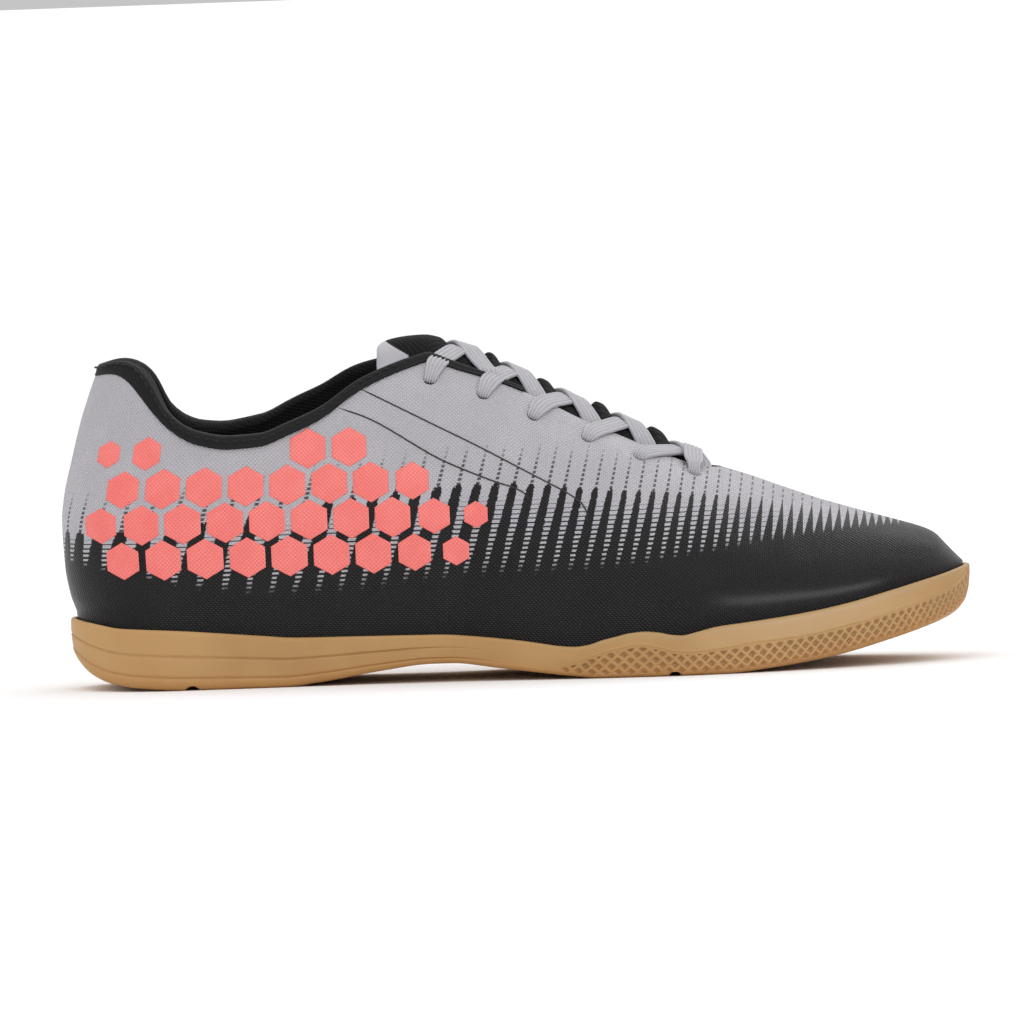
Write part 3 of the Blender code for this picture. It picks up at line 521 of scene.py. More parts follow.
class Graph:
    """A material under construction: its shader and the nodes that feed it."""

    def __init__(self, name, colour, roughness, **fixed):
        self.material = bpy.data.materials.new(name)
        self.material.use_nodes = True
        self.nodes, self.links = self.material.node_tree.nodes, self.material.node_tree.links
        self.shader = self.nodes["Principled BSDF"]
        self.shader.inputs["Base Color"].default_value = (*colour, 1)
        self.shader.inputs["Roughness"].default_value = roughness
        for name, value in fixed.items():
            self.shader.inputs[name.replace("_", " ")].default_value = value
        self.place = self.nodes.new("ShaderNodeTexCoord").outputs["Object"]

    def put(self, value, socket):
        if isinstance(value, Value):
            self.links.new(value.socket, socket)
        elif isinstance(value, tuple):
            socket.default_value = (*value, 1)
        else:
            socket.default_value = value

    def math(self, operation, *values):
        node = self.nodes.new("ShaderNodeMath")
        node.operation = operation
        for value, socket in zip(values, node.inputs):
            self.put(value, socket)
        return Value(self, node.outputs[0])

    def step(self, value, low, high):
        node = self.nodes.new("ShaderNodeMapRange")
        node.interpolation_type = "SMOOTHSTEP"
        for name, given in (("Value", value), ("From Min", low), ("From Max", high)):
            self.put(given, node.inputs[name])
        return Value(self, node.outputs["Result"])

    def coordinates(self):
        """Millimetres from the heel, from the ridge line's zero and from the floor."""
        node = self.nodes.new("ShaderNodeSeparateXYZ")
        self.links.new(self.place, node.inputs[0])
        x, y, z = (Value(self, socket) * 1000.0 for socket in node.outputs)
        return x + LENGTH * 500.0, y, z

    def attribute(self, name):
        node = self.nodes.new("ShaderNodeAttribute")
        node.attribute_name = name
        return Value(self, node.outputs["Fac"])

    def noise(self, scale, detail=2.0, stretch=(1.0, 1.0, 1.0)):
        mapping = self.nodes.new("ShaderNodeMapping")
        mapping.inputs["Scale"].default_value = stretch
        self.links.new(self.place, mapping.inputs["Vector"])
        node = self.nodes.new("ShaderNodeTexNoise")
        self.links.new(mapping.outputs[0], node.inputs["Vector"])
        node.inputs["Scale"].default_value = scale
        node.inputs["Detail"].default_value = detail
        return Value(self, node.outputs["Fac"])

    def curve(self, value, points, across=LENGTH * 1000.0, up=100.0):
        """A smooth line through points, as a function of a value: both in millimetres."""
        node = self.nodes.new("ShaderNodeFloatCurve")
        line = node.mapping.curves[0]
        scaled = [(x / across, y / up) for x, y in points]
        line.points[0].location = scaled[0]
        line.points[1].location = scaled[-1]
        for x, y in scaled[1:-1]:
            line.points.new(x, y)
        node.mapping.update()
        self.put(value / across, node.inputs["Value"])
        return Value(self, node.outputs[0]) * up

    def mix(self, factor, a, b):
        node = self.nodes.new("ShaderNodeMix")
        node.data_type = "RGBA"
        self.put(factor, node.inputs[0])
        self.put(a, node.inputs[6])
        self.put(b, node.inputs[7])
        return Value(self, node.outputs[2])

    def bump(self, height, distance, strength=1.0):
        node = self.nodes.new("ShaderNodeBump")
        node.inputs["Strength"].default_value = strength
        node.inputs["Distance"].default_value = distance
        self.put(height, node.inputs["Height"])
        earlier = self.shader.inputs["Normal"].links
        if earlier:
            self.links.new(earlier[0].from_socket, node.inputs["Normal"])
        self.links.new(node.outputs[0], self.shader.inputs["Normal"])

    def colour(self, value):
        self.put(value, self.shader.inputs["Base Color"])

    def roughness(self, value):
        self.put(value, self.shader.inputs["Roughness"])


INK = (0.011, 0.011, 0.013)
SILVER = (0.5, 0.48, 0.515)
CORAL = (1.0, 0.215, 0.195)

# Heights at which the black spikes of the print end, and at which they meet in solid black
SPIKE_TOPS = [
    (0, 50), (20, 50), (60, 54), (100, 59), (135, 61.3), (175, 58), (213, 54.1), (242, 49.3),
    (264, 45.5), (285, 42),
]
SOLID_BLACK = [
    (0, 41), (20, 37), (45, 32), (70, 30), (130, 34), (169, 34.9), (200, 37.8), (232, 40.5),
    (264, 42.5), (285, 40),
]
SPIKE_LEAN, SPIKE_LEAN_TOE = math.tan(math.radians(16.0)), math.tan(math.radians(11.0))
SPIKE_PITCH, SPIKE_PITCH_AT, SPIKE_CLOSING = 5.8, 130.0, 0.0252
DASH_PITCH = 1.4
EMBOSS_PITCH = 1.3


def emboss(g):
    """Fine diamond grain of the moulded skin, from its own lengths."""
    u, v = g.attribute("skin_u") * 1000.0, g.attribute("skin_v") * 1000.0
    turn = math.pi / EMBOSS_PITCH
    return abs(((u + v) * turn).sin()) * abs(((u - v) * turn).sin())


def upper_material():
    """Silver print that breaks into dashes and dots between black spikes, over a fine emboss."""
    g = Graph("upper_print", SILVER, 0.42, Coat_Weight=0.07, Coat_Roughness=0.2)
    g.shader.inputs["Specular IOR Level"].default_value = 0.17
    x, _, z = g.coordinates()
    along = g.attribute("skin_along") * 1000.0
    toe = x.over(190.0, 236.0)
    lean = SPIKE_LEAN - x.over(130.0, 240.0) * (SPIKE_LEAN - SPIKE_LEAN_TOE)
    leaned = along - (z - 48.0) * lean
    near = 1.0 - (leaned - SPIKE_PITCH_AT) * (SPIKE_CLOSING / SPIKE_PITCH)
    phase = near.log() * (-1.0 / SPIKE_CLOSING)
    off_spike = abs(phase.fract() - 0.5) * 2.0
    top = g.curve(x, SPIKE_TOPS)
    low = g.curve(x, SOLID_BLACK)
    filled = (top - z) / (top - low)
    torn = filled + (g.noise(1300.0, 1.0) - 0.5) * 0.14
    blunt = (1.0 - toe) * (0.46 - x.over(100.0, 200.0) * 0.12) * torn.over(-0.03, 0.03)
    grown = g.math("MAXIMUM", filled, 0.0).power(0.85) * (0.64 + toe * 0.36)
    ragged = (g.noise(1100.0, 1.0) - 0.5) * (0.34 - toe * 0.24) * filled.over(0.0, 0.05)
    width = blunt + (1.0 - blunt) * grown + ragged - (1.0 - filled.over(-0.02, 0.0)) * 0.2
    column = (off_spike - width).over(-0.06, 0.06)
    row = abs((z / DASH_PITCH).fract() - 0.5) * 2.0
    tick = (0.14 + filled.over(0.1, 0.85) * 0.42) * (1.0 - toe)
    dash = 1.0 - (row - (1.0 - tick)).over(-0.16, 0.16) * torn.over(0.08, 0.3)
    above = (z - top) / 15.0
    dot_size = 0.2 - above * 0.1
    round_dot = (1.0 - (off_spike - dot_size).over(-0.07, 0.07)) * (row - 0.36).over(-0.12, 0.12)
    spread = (g.noise(700.0, 1.0) - 0.5) * 0.5
    dots = round_dot * (1.0 - (above + spread).over(0.35, 0.95)) * (0.85 - toe * 0.25)
    clear = 1.0 - dots * (1.0 - filled.over(0.0, 0.08))
    faded = 1.0 - (torn + toe * 0.1).over(0.84, 1.06)
    lit = column * dash * clear * faded
    haze = g.noise(60.0, 3.0)
    grain = emboss(g)
    silver = g.mix(haze.over(0.3, 0.7), (0.492, 0.474, 0.508), (0.55, 0.53, 0.566))
    ink = g.mix(haze.over(0.35, 0.65), (0.0046, 0.0038, 0.0048), (0.008, 0.0068, 0.0084))
    # Silver and ink both turn darker in the emboss's pits: painted shade.
    silver_pit_shade = g.mix(grain.over(0.0, 0.45), (0.4, 0.386, 0.415), silver)
    dark = g.mix(grain.over(0.0, 0.5), (0.003, 0.003, 0.0035), ink)
    g.colour(g.mix(lit, dark, silver_pit_shade))
    g.roughness(0.27 + haze * 0.08 + lit * 0.14)
    g.bump(grain, 0.0003, 0.9)
    g.bump(g.noise(420.0, 3.0), 0.00012, 0.5)
    return g.material


def plain_knit(name, colour, light, scale, depth, roughness=0.9, sheen=0.05):
    """Close knit in two tones with a little sheen."""
    g = Graph(name, colour, roughness, Sheen_Weight=sheen, Sheen_Roughness=0.4)
    g.shader.inputs["Specular IOR Level"].default_value = 0.2
    x, y, z = g.coordinates()
    a = ((x + y * 0.6) * (math.pi / scale)).sin()
    b = ((z - y * 0.6 + x * 0.15) * (math.pi / scale)).sin()
    loops = abs(a) * abs(b)
    shade = g.noise(260.0, 2.0)
    g.colour(g.mix(loops * 0.6 + shade * 0.4, colour, light))
    g.bump(loops, depth)
    return g.material


def edge_material():
    g = Graph("cut_edge", INK, 0.7)
    shade = g.noise(500.0, 2.0)
    g.colour(g.mix(shade, (0.008, 0.008, 0.01), (0.02, 0.02, 0.022)))
    g.bump(shade, 0.0001)
    return g.material


def lace_material():
    """Light grey flat weave: fine picks across, and soft ribs along that are in the mesh."""
    g = Graph("lace_weave", (0.5, 0.49, 0.52), 0.78, Sheen_Weight=0.3, Sheen_Roughness=0.5)
    u, v = g.attribute("lace_u") * 1000.0, g.attribute("lace_v") * 1000.0
    odd = (v * (math.pi / 0.8)).sin()
    picks = abs(((u + odd * 0.22) * (math.pi / 0.62)).sin())
    fuzz = g.noise(1500.0, 3.0)
    rib_groove_shade = ((v * (2 * math.pi * LACE_RIBS / (LACE_WIDTH * 1000.0))) + math.pi / 2).sin()
    # The rib term darkens the grooves between the mesh's ribs: painted shade.
    tone = picks * 0.3 + fuzz * 0.3 + rib_groove_shade.over(-0.8, 0.6) * 0.4
    g.colour(g.mix(tone, (0.3, 0.29, 0.315), (0.56, 0.545, 0.58)))
    g.bump(picks, 0.00012)
    g.bump(fuzz, 0.00008, 0.6)
    return g.material


def coral_material():
    g = Graph("coral_film", CORAL, 0.38, Coat_Weight=0.2, Coat_Roughness=0.25)
    grain, shade = emboss(g), g.noise(140.0, 2.0)
    coral = g.mix(shade.over(0.3, 0.7), (0.93, 0.175, 0.155), (0.97, 0.215, 0.19))
    # The coral turns darker in the emboss's pits: painted shade.
    g.colour(g.mix(grain.over(0.0, 0.4), (0.8, 0.13, 0.115), coral))
    g.bump(grain, 0.0002, 0.8)
    return g.material


def gum_material():
    """Translucent-looking tan rubber: moulding haze, painted shade in the pits and faint flow lines."""
    g = Graph("gum_rubber_skin", (0.49, 0.27, 0.1), 0.5, Subsurface_Weight=0.06)
    g.shader.inputs["Subsurface Radius"].default_value = (0.004, 0.002, 0.001)
    g.shader.inputs["Subsurface Scale"].default_value = 0.3
    x, _, z = g.coordinates()
    haze, grain = g.noise(38.0, 3.0), g.noise(900.0, 3.0)
    base = g.mix(haze.over(0.3, 0.7), (0.43, 0.238, 0.076), (0.49, 0.282, 0.1))
    # The lattice's pits are coloured darker: painted shade.
    pit_shade_mask = g.attribute("sole_pit")
    deep = g.mix(pit_shade_mask * 0.7, base, (0.35, 0.16, 0.042))
    low_edge = 1.0 - (g.attribute("sole_up") + (haze - 0.5) * 0.1).over(0.03, 0.38)
    warm = g.mix(low_edge * 0.5, deep, (0.48, 0.215, 0.052))
    lip = g.attribute("sole_up").over(0.8, 0.97) * x.over(120.0, 190.0)
    g.colour(g.mix(lip * 0.5, warm, (0.41, 0.275, 0.135)))
    g.roughness(0.44 + haze * 0.14)
    g.bump(grain, 0.00006, 0.6)
    g.bump(g.noise(120.0, 2.0), 0.0002, 0.35)
    return g.material


def tongue_material():
    """Black mesh with open cells, and a smooth light grey panel at the tip."""
    g = Graph("tongue_mesh", INK, 0.85, Sheen_Weight=0.05, Sheen_Roughness=0.4)
    g.shader.inputs["Specular IOR Level"].default_value = 0.2
    x, y, z = g.coordinates()
    slant = g.math("MAXIMUM", z - 105.4, -4.0) * 1.75
    tip = 1.0 - (x + slant + abs(y) * 0.12).over(104.7, 105.3)
    cells = abs(((x + y) * (math.pi / 1.5)).sin()) * abs(((x - y) * (math.pi / 1.5)).sin())
    mesh = g.mix(cells, (0.003, 0.003, 0.0035), (0.012, 0.012, 0.013))
    shade = g.noise(300.0, 2.0)
    panel = g.mix(shade, (0.45, 0.435, 0.462), (0.51, 0.495, 0.525))
    g.colour(g.mix(tip, mesh, panel))
    g.roughness(0.88 - tip * 0.4)
    g.bump(cells * (1.0 - tip) + shade * tip * 0.3, 0.0003)
    return g.material


def insole_material():
    g = Graph("insole_cloth", INK, 0.92, Sheen_Weight=0.3, Sheen_Roughness=0.4)
    x, y, _ = g.coordinates()
    weave = abs((x * (math.pi / 0.9)).sin()) * abs((y * (math.pi / 0.9)).sin())
    shade = g.noise(120.0, 3.0)
    g.colour(g.mix(weave * 0.6 + shade * 0.4, (0.015, 0.015, 0.017), (0.05, 0.05, 0.054)))
    g.bump(weave, 0.0002)
    return g.material


# Making objects
def link(name, mesh, surfaces):
    made = bpy.data.objects.new(name, mesh)
    bpy.context.scene.collection.objects.link(made)
    for surface in surfaces:
        mesh.materials.append(surface)
    return made


def to_frame(points):
    """From the heel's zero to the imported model's origin, the middle of the footprint."""
    return np.asarray(points, float) - FOOTPRINT_MIDDLE


def grid_object(name, grids, surfaces, attributes=(), slots=None, weld=1e-6):
    """Object of quad grids, each an array of rows of points, welded where they meet.

    Each grid may bring rows of values for the named attributes, and slots a material row.
    """
    work = bmesh.new()
    layers = [work.verts.layers.float.new(a) for a in attributes]
    for index, (points, *values) in enumerate(grids):
        points = to_frame(points)
        made = [[work.verts.new(p) for p in row] for row in points]
        for layer, rows in zip(layers, values):
            for verts, row in zip(made, rows):
                for vert, value in zip(verts, row):
                    vert[layer] = float(value)
        for j, (low, high) in enumerate(zip(made, made[1:])):
            for i in range(len(low) - 1):
                face = work.faces.new((low[i], low[i + 1], high[i + 1], high[i]))
                if slots:
                    face.material_index = slots(index, j, i)
    bmesh.ops.remove_doubles(work, verts=work.verts, dist=weld)
    bmesh.ops.dissolve_degenerate(work, dist=1e-7, edges=work.edges)
    bmesh.ops.recalc_face_normals(work, faces=work.faces)
    mesh = bpy.data.meshes.new(name)
    work.to_mesh(mesh)
    work.free()
    mesh.shade_smooth()
    return link(name, mesh, surfaces)


def closed(rows):
    """A grid whose rows end where they start."""
    rows = np.asarray(rows)
    return np.concatenate([rows, rows[:, :1]], axis=1)


def apply_modifiers(made, sharp=35.0):
    graph = bpy.context.evaluated_depsgraph_get()
    mesh = bpy.data.meshes.new_from_object(made.evaluated_get(graph))
    old = made.data
    made.modifiers.clear()
    made.data = mesh
    bpy.data.meshes.remove(old)
    mesh.shade_smooth()
    mesh.set_sharp_from_angle(angle=math.radians(sharp))
    return made


def place(made, slot, *nodes):
    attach(made, "root")
    if nodes:
        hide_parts(*nodes)
    return made


# Outline of the sole in plan
def outline(side, x):
    """Points and outward normals of one side of the sole's outline, at lengths x."""
    share = round_share(x - SOLE_BACK, HEEL_ROUND) * round_share(LENGTH - x, TOE_ROUND)
    points = np.stack([x, centre_line(x) + side * half_width(x) * share], -1)
    along = np.gradient(points, axis=0)
    normals = unit(np.stack([-along[:, 1], along[:, 0]], -1)) * side
    normals[0], normals[-1] = (-1.0, 0.0), (1.0, 0.0)
    return points, normals


def even_outline(side, shares):
    """Points and normals of one side of the outline, at shares of the way round it."""
    turn = np.linspace(0, math.pi, 1600)
    x = lerp(SOLE_BACK, LENGTH, (1 - np.cos(turn)) / 2)
    points, _ = outline(side, x)
    s = run_lengths(points)
    return outline(side, np.interp(shares * s[-1], s, x))


def footprint_middle():
    dense = np.linspace(SOLE_BACK, LENGTH, 900)
    inner = outline(INNER, dense)[0][:, 1].max()
    outer = -outline(OUTER, dense)[0][:, 1].min()
    return np.array([LENGTH / 2, (inner - outer) / 2, 0.0])


FOOTPRINT_MIDDLE = footprint_middle()


def station_lengths(heel_steps=20, quarter_steps=56, throat_steps=64, toe_steps=46):
    heel = SOLE_BACK + HEEL_ROUND * (1 - np.cos(math.pi / 2 * np.arange(heel_steps) / heel_steps))
    start = SOLE_BACK + HEEL_ROUND
    quarter = lerp(start, THROAT_TOP, np.arange(quarter_steps) / quarter_steps)
    back = 1 - np.arange(throat_steps) / throat_steps
    throat = THROAT_END - (THROAT_END - THROAT_TOP) * back**1.5
    turn = np.sin(math.pi / 2 * np.arange(toe_steps + 1) / toe_steps)
    return np.concatenate([heel, quarter, throat, lerp(THROAT_END, LENGTH, turn)])


STATIONS = station_lengths()
ROWS = 46


def edge_half_width(x):
    return open_half_width(x) * round_share(THROAT_END - np.asarray(x), THROAT_END_ROUND)


def edge_height(side, x):
    along = np.clip((x - SOLE_BACK) / (THROAT_TOP - SOLE_BACK), 0.0, 1.0)
    rise = np.sin(math.pi * along**INNER_RISE_SKEW) ** 2 if side == INNER else 0.0
    collar = collar_edge(x) + INNER_ANKLE_RISE * rise
    throat = ridge_level(x) - edge_half_width(x) ** 2 / (2 * EYESTAY_BEND)
    return np.where(x <= THROAT_TOP, collar, throat)


def upper_side(side):
    """Outer face of one side of the upper: an array of sections, each from the bed up."""
    x = STATIONS
    foot, normals = outline(side, x)
    other, other_normals = outline(-side, x)
    foot = foot - normals * UPPER_INSET
    other = other - other_normals * UPPER_INSET
    middle = (foot[:, 0] + other[:, 0]) / 2
    centre = centre_line(x)
    share = abs(foot[:, 1] - centre_line(foot[:, 0])) / half_width(x)
    low, high = rim_level(x) + LIP_GAP, edge_height(side, x)
    rise = shoulder_up(x) + (inner_rise(x) if side == INNER else 0.0)
    edge = edge_half_width(x) * lerp(share, 1.0, ease((x - 0.008) / 0.045))
    bends = np.array([
        (foot[:, 1], low),
        (lerp(centre, foot[:, 1], belly(x)), lerp(low, high, belly_up(x))),
        (lerp(centre, foot[:, 1], shoulder(x)), lerp(low, high, rise)),
        (ridge_line(x) + side * edge, high),
    ])
    bends[:, 0, 0], bends[:, 0, -1] = foot[0, 1], foot[-1, 1]
    t = np.linspace(0, 1, ROWS + 1)
    weights = np.array([(1 - t) ** 3, 3 * t * (1 - t) ** 2, 3 * t * t * (1 - t), t**3])
    y = np.einsum("bk,br->kr", bends[:, 0], weights)
    z = np.einsum("bk,br->kr", bends[:, 1], weights)
    fade = np.maximum(0.0, 1 - middle / LEAN_FADE)[:, None] ** 2
    along = lerp(foot[:, :1], middle[:, None], t[None]) + back_shift(z) * fade
    body = np.stack([along, y, z], -1)
    base = np.stack([foot[:, 0], foot[:, 1], bed_level(foot[:, 0]) + GAP], -1)
    return np.concatenate([base[:, None], body], axis=1)


def side_normals(side, surface):
    here, other = surface[side], surface[-side]
    longer = np.concatenate([other[1:2], here, other[-2:-1]])
    along = longer[2:] - longer[:-2]
    up = np.empty_like(here)
    up[:, 1:-1] = here[:, 2:] - here[:, :-2]
    up[:, 0], up[:, -1] = here[:, 1] - here[:, 0], here[:, -1] - here[:, -2]
    return unit(np.cross(along, up) * -side)


def creased(side, surface, normals):
    """The outer face with its soft troughs and ridges, which fade out at its edges."""
    x, z = surface[..., 0], surface[..., 2]
    depth = np.zeros_like(x)
    for place_x, place_z, reach_x, reach_z, lean, deep in CREASES:
        turn = math.radians(lean)
        a = (x - place_x) * math.cos(turn) + (z - place_z) * math.sin(turn)
        b = (z - place_z) * math.cos(turn) - (x - place_x) * math.sin(turn)
        depth += deep * np.exp(-((a / reach_x) ** 2) - (b / reach_z) ** 2)
    rows = np.arange(ROWS + 2)[None] / (ROWS + 1)
    fade = ease((rows - 0.1) / 0.2) * ease((1 - rows) / 0.12)
    return surface - normals * (depth * fade)[..., None]


SMOOTH = {side: upper_side(side) for side in (OUTER, INNER)}
SKIN = {
    side: creased(side, SMOOTH[side], side_normals(side, SMOOTH)) for side in (OUTER, INNER)
}
NORMALS = {side: side_normals(side, SKIN) for side in (OUTER, INNER)}


# Behind this length the print runs round the rim and not along the shoe
PRINT_ROUND_HEEL = 0.06


def plan_lengths(side):
    """Length round the rim from the heel's middle to each station."""
    return run_lengths(outline(side, STATIONS)[0])


def skin_values(side):
    """Lengths round and up the upper at each point, and the place along the print."""
    round_rim = plan_lengths(side)
    start = np.interp(PRINT_ROUND_HEEL, STATIONS, round_rim)
    print_along = np.where(STATIONS > PRINT_ROUND_HEEL, STATIONS, PRINT_ROUND_HEEL + round_rim - start)
    steps = np.linalg.norm(np.diff(SKIN[side], axis=1), axis=-1)
    up = np.concatenate([np.zeros((len(STATIONS), 1)), np.cumsum(steps, axis=1)], axis=1)
    shape = np.ones_like(up)
    return side * round_rim[:, None] * shape, up, print_along[:, None] * shape


VALUES = {side: skin_values(side) for side in (OUTER, INNER)}


def between_stations(x):
    """The station before a length, and the share of the way to the next one."""
    k = int(np.clip(np.searchsorted(STATIONS, x, side="right") - 1, 0, len(STATIONS) - 2))
    return k, (x - STATIONS[k]) / (STATIONS[k + 1] - STATIONS[k])


def skin_at(side, x, z):
    """Point, normal and printed lengths on the upper's outer face at a station and height."""
    k, t = between_stations(x)
    found = []
    for rows in (SKIN[side], NORMALS[side], *(v[..., None] for v in VALUES[side][:2])):
        found.append(lerp(rows[k], rows[k + 1], t))
    heights = found[0][:, 2]
    values = [[np.interp(z, heights, part[:, i]) for i in range(part.shape[1])] for part in found]
    return np.array(values[0]), unit(values[1]), values[2][0], values[3][0]


def hanging(side, x, below):
    """Point and normal on the outer face at a station, a distance below the upper's edge."""
    k, t = between_stations(x)
    points, normals, ups = (
        lerp(rows[k], rows[k + 1], t)
        for rows in (SKIN[side], NORMALS[side], VALUES[side][1])
    )
    at = ups[-1] - below
    point = np.array([np.interp(at, ups, points[:, i]) for i in range(3)])
    return point, unit([np.interp(at, ups, normals[:, i]) for i in range(3)])


# Upper: one shell, with its cut edges, lining and punched eyelets
def make_upper(print_surface, lining, edge):
    grids = [(SKIN[side], *VALUES[side]) for side in (OUTER, INNER)]
    names = ("skin_u", "skin_v", "skin_along")
    upper = grid_object("upper_shell", grids, [print_surface, lining, edge], names)
    face_outward(upper)
    group = upper.vertex_groups.new(name="wall")
    front = LENGTH - UPPER_INSET - FOOTPRINT_MIDDLE[0]
    for vertex in upper.data.vertices:
        behind = ease((front - vertex.co.x) / TOE_THINNING)
        group.add([vertex.index], float(lerp(TOE_WALL_SHARE, 1.0, behind)), "REPLACE")
    wall = upper.modifiers.new("wall", "SOLIDIFY")
    wall.thickness = UPPER_WALL
    wall.offset = -1.0
    wall.vertex_group = group.name
    wall.material_offset = 1
    wall.material_offset_rim = 2
    punches = eyelet_punches(edge)
    cut = upper.modifiers.new("eyelets", "BOOLEAN")
    cut.operation = "DIFFERENCE"
    cut.object = punches
    apply_modifiers(upper)
    bpy.data.objects.remove(punches)
    lay_values(upper, ("skin_u", "skin_v", "skin_along"))
    return place(upper, "upper_synthetic", "upper")


def lay_values(made, names, nearest=4):
    """Give each point of a mesh the lengths of the nearest points of the skin's own grid."""
    for side in (OUTER, INNER):
        points = to_frame(SKIN[side].reshape(-1, 3))
        tree = KDTree(len(points))
        for i, point in enumerate(points):
            tree.insert(point, i)
        tree.balance()
        values = np.array([v.reshape(-1) for v in VALUES[side]])
        middle = ridge_line(STATIONS) - FOOTPRINT_MIDDLE[1]
        for vertex in made.data.vertices:
            at = np.interp(vertex.co.x + FOOTPRINT_MIDDLE[0], STATIONS, middle)
            if (vertex.co.y - at) * side < 0:
                continue
            found = tree.find_n(vertex.co, nearest)
            weights = np.array([1 / (distance + 1e-6) ** 2 for _, _, distance in found])
            blend = values[:, [i for _, i, _ in found]] @ (weights / weights.sum())
            for name, value in zip(names, blend):
                made.data.attributes[name].data[vertex.index].value = float(value)


def face_outward(shell):
    """Turn an open shell's faces away from the middle of the shoe."""
    outward = 0.0
    for face in shell.data.polygons:
        outward += face.area * face.normal.dot(face.center - Vector((face.center.x, 0.0, 0.03)))
    if outward < 0:
        shell.data.flip_normals()


def ring_frame(normal):
    first = unit(np.cross(normal, (0.0, 0.0, 1.0)))
    return first, np.cross(normal, first)


def eyelet_punches(surface, sides=28):
    turn = np.linspace(0, 2 * math.pi, sides + 1)[:, None]
    grids = []
    for side in (OUTER, INNER):
        for x, from_edge in EYELETS:
            point, normal = hanging(side, x, from_edge)
            a, b = ring_frame(normal)
            ring = (a * np.cos(turn) + b * np.sin(turn)) * EYELET_RADIUS
            rows = [(0, 1.6), (1, 1.6), (1, -0.8), (0, -0.8)]
            grids.append((
                np.array([point + ring * r - normal * deep * UPPER_WALL for r, deep in rows]),
            ))
    return grid_object("punches", grids, [surface])


# Cup sole with ribs, lattice and tread
SOLE_COLUMNS = 600
SIDE_ROWS = (
    0, 0.012, 0.03, 0.05, 0.075, 0.1, *np.linspace(0.125, 0.74, 40),
    0.78, 0.83, 0.88, 0.92, 0.95, 0.97, 0.985, 1.0,
)
# Grooves of the side: share of the way up, half width as a share, depth, and where they fade out
SIDE_GROOVES = ((0.56, 0.042, 0.00055, 0.1, 0.14), (0.205, 0.04, 0.00045, 0.11, 0.15))
LATTICE_FROM = 0.152
LATTICE_DEPTH = 0.0008
LATTICE_ROW = 0.00178
LATTICE_LOW = 0.001
# Height of the lattice over the sole's lower edge
LATTICE_TOP = (
    (0.152, 0.0014),
    (0.158, 0.0032),
    (0.1645, 0.006),
    (0.172, 0.0082),
    (0.18, 0.0094),
    (0.186, 0.0083),
    (0.1915, 0.0069),
    (0.197, 0.0067),
    (0.2025, 0.0072),
    (0.216, 0.0081),
    (0.2306, 0.0077),
    (0.285, 0.008),
)
LATTICE_PITCH_AT_TOE = 0.0027
LATTICE_OPENING = 0.01
LATTICE_RIDGE = 0.22
RIB_PROUD = 0.00028
RIB_HALF = 0.00045
RIB_ABOVE_LATTICE = 0.0009
NOTCHES = (0.0402, 0.1906)
NOTCH_WIDTH = 0.0048
NOTCH_DEPTH = 0.0014
NOTCH_REACH = 0.16
TREAD_COLUMNS = 40
GROOVE_LINES = (0.102, 0.137, 0.253, 0.288, 0.523, 0.561, 0.675, 0.791, 0.83, 0.868)
GROOVE_SLANT = math.tan(math.radians(14))
PIVOT_PLACE = 0.702
GROOVE_SOFT = 0.0004
CHEVRON_PITCH = 0.0042
CHEVRON_DEPTH = 0.00035
CHEVRON_SLANT = 0.55


lattice_top = smooth_curve(*zip(*LATTICE_TOP))


def lattice(x, from_toe, above):
    """Diamond pits between crossed ridges on the forefoot's side: 1 at the bottom of a pit."""
    opened = 1 + from_toe * LATTICE_OPENING / LATTICE_PITCH_AT_TOE
    phase = np.log(opened) / LATTICE_OPENING
    rise = above / (2 * LATTICE_ROW)
    ridges = [abs((phase + turn * rise) % 1.0 - 0.5) * -2 + 1 for turn in (1, -1)]
    depth = ease((np.minimum(*ridges) - LATTICE_RIDGE) / 0.42)
    band = ease((above - LATTICE_LOW) / 0.0003) * ease((lattice_top(x) - above) / 0.0004)
    return depth * band * ease((x - LATTICE_FROM) / 0.006)


def notch(x):
    """Depth of the notches that the tread leaves in the sole's lower edge."""
    off = np.min([abs(x - place_x) for place_x in NOTCHES], axis=0)
    return NOTCH_DEPTH * ease((NOTCH_WIDTH / 2 - off) / 0.0016)


def side_lengths():
    """Shares of a side's outline for its columns: closer together along the forefoot."""
    even = np.linspace(0, 1, 2000)
    density = 0.42 + 0.58 * ease((even - 0.42) / 0.08)
    reached = np.cumsum(density)
    return np.interp(np.linspace(reached[0], reached[-1], SOLE_COLUMNS), reached, even)


def side_relief(rows, x, above):
    """Depth of the side's grooves and rib, inward: rows by columns."""
    depth = np.zeros_like(above)
    for share, half, deep, fade_from, fade_to in SIDE_GROOVES:
        off = abs(rows[:, None] - share)
        depth += deep * ease(1 - off / half) * (1 - ease((x - fade_from) / (fade_to - fade_from)))
    off = abs(above - lattice_top(x) - RIB_ABOVE_LATTICE)
    return depth - RIB_PROUD * ease(1 - off / RIB_HALF) * ease((x - LATTICE_FROM) / 0.02)


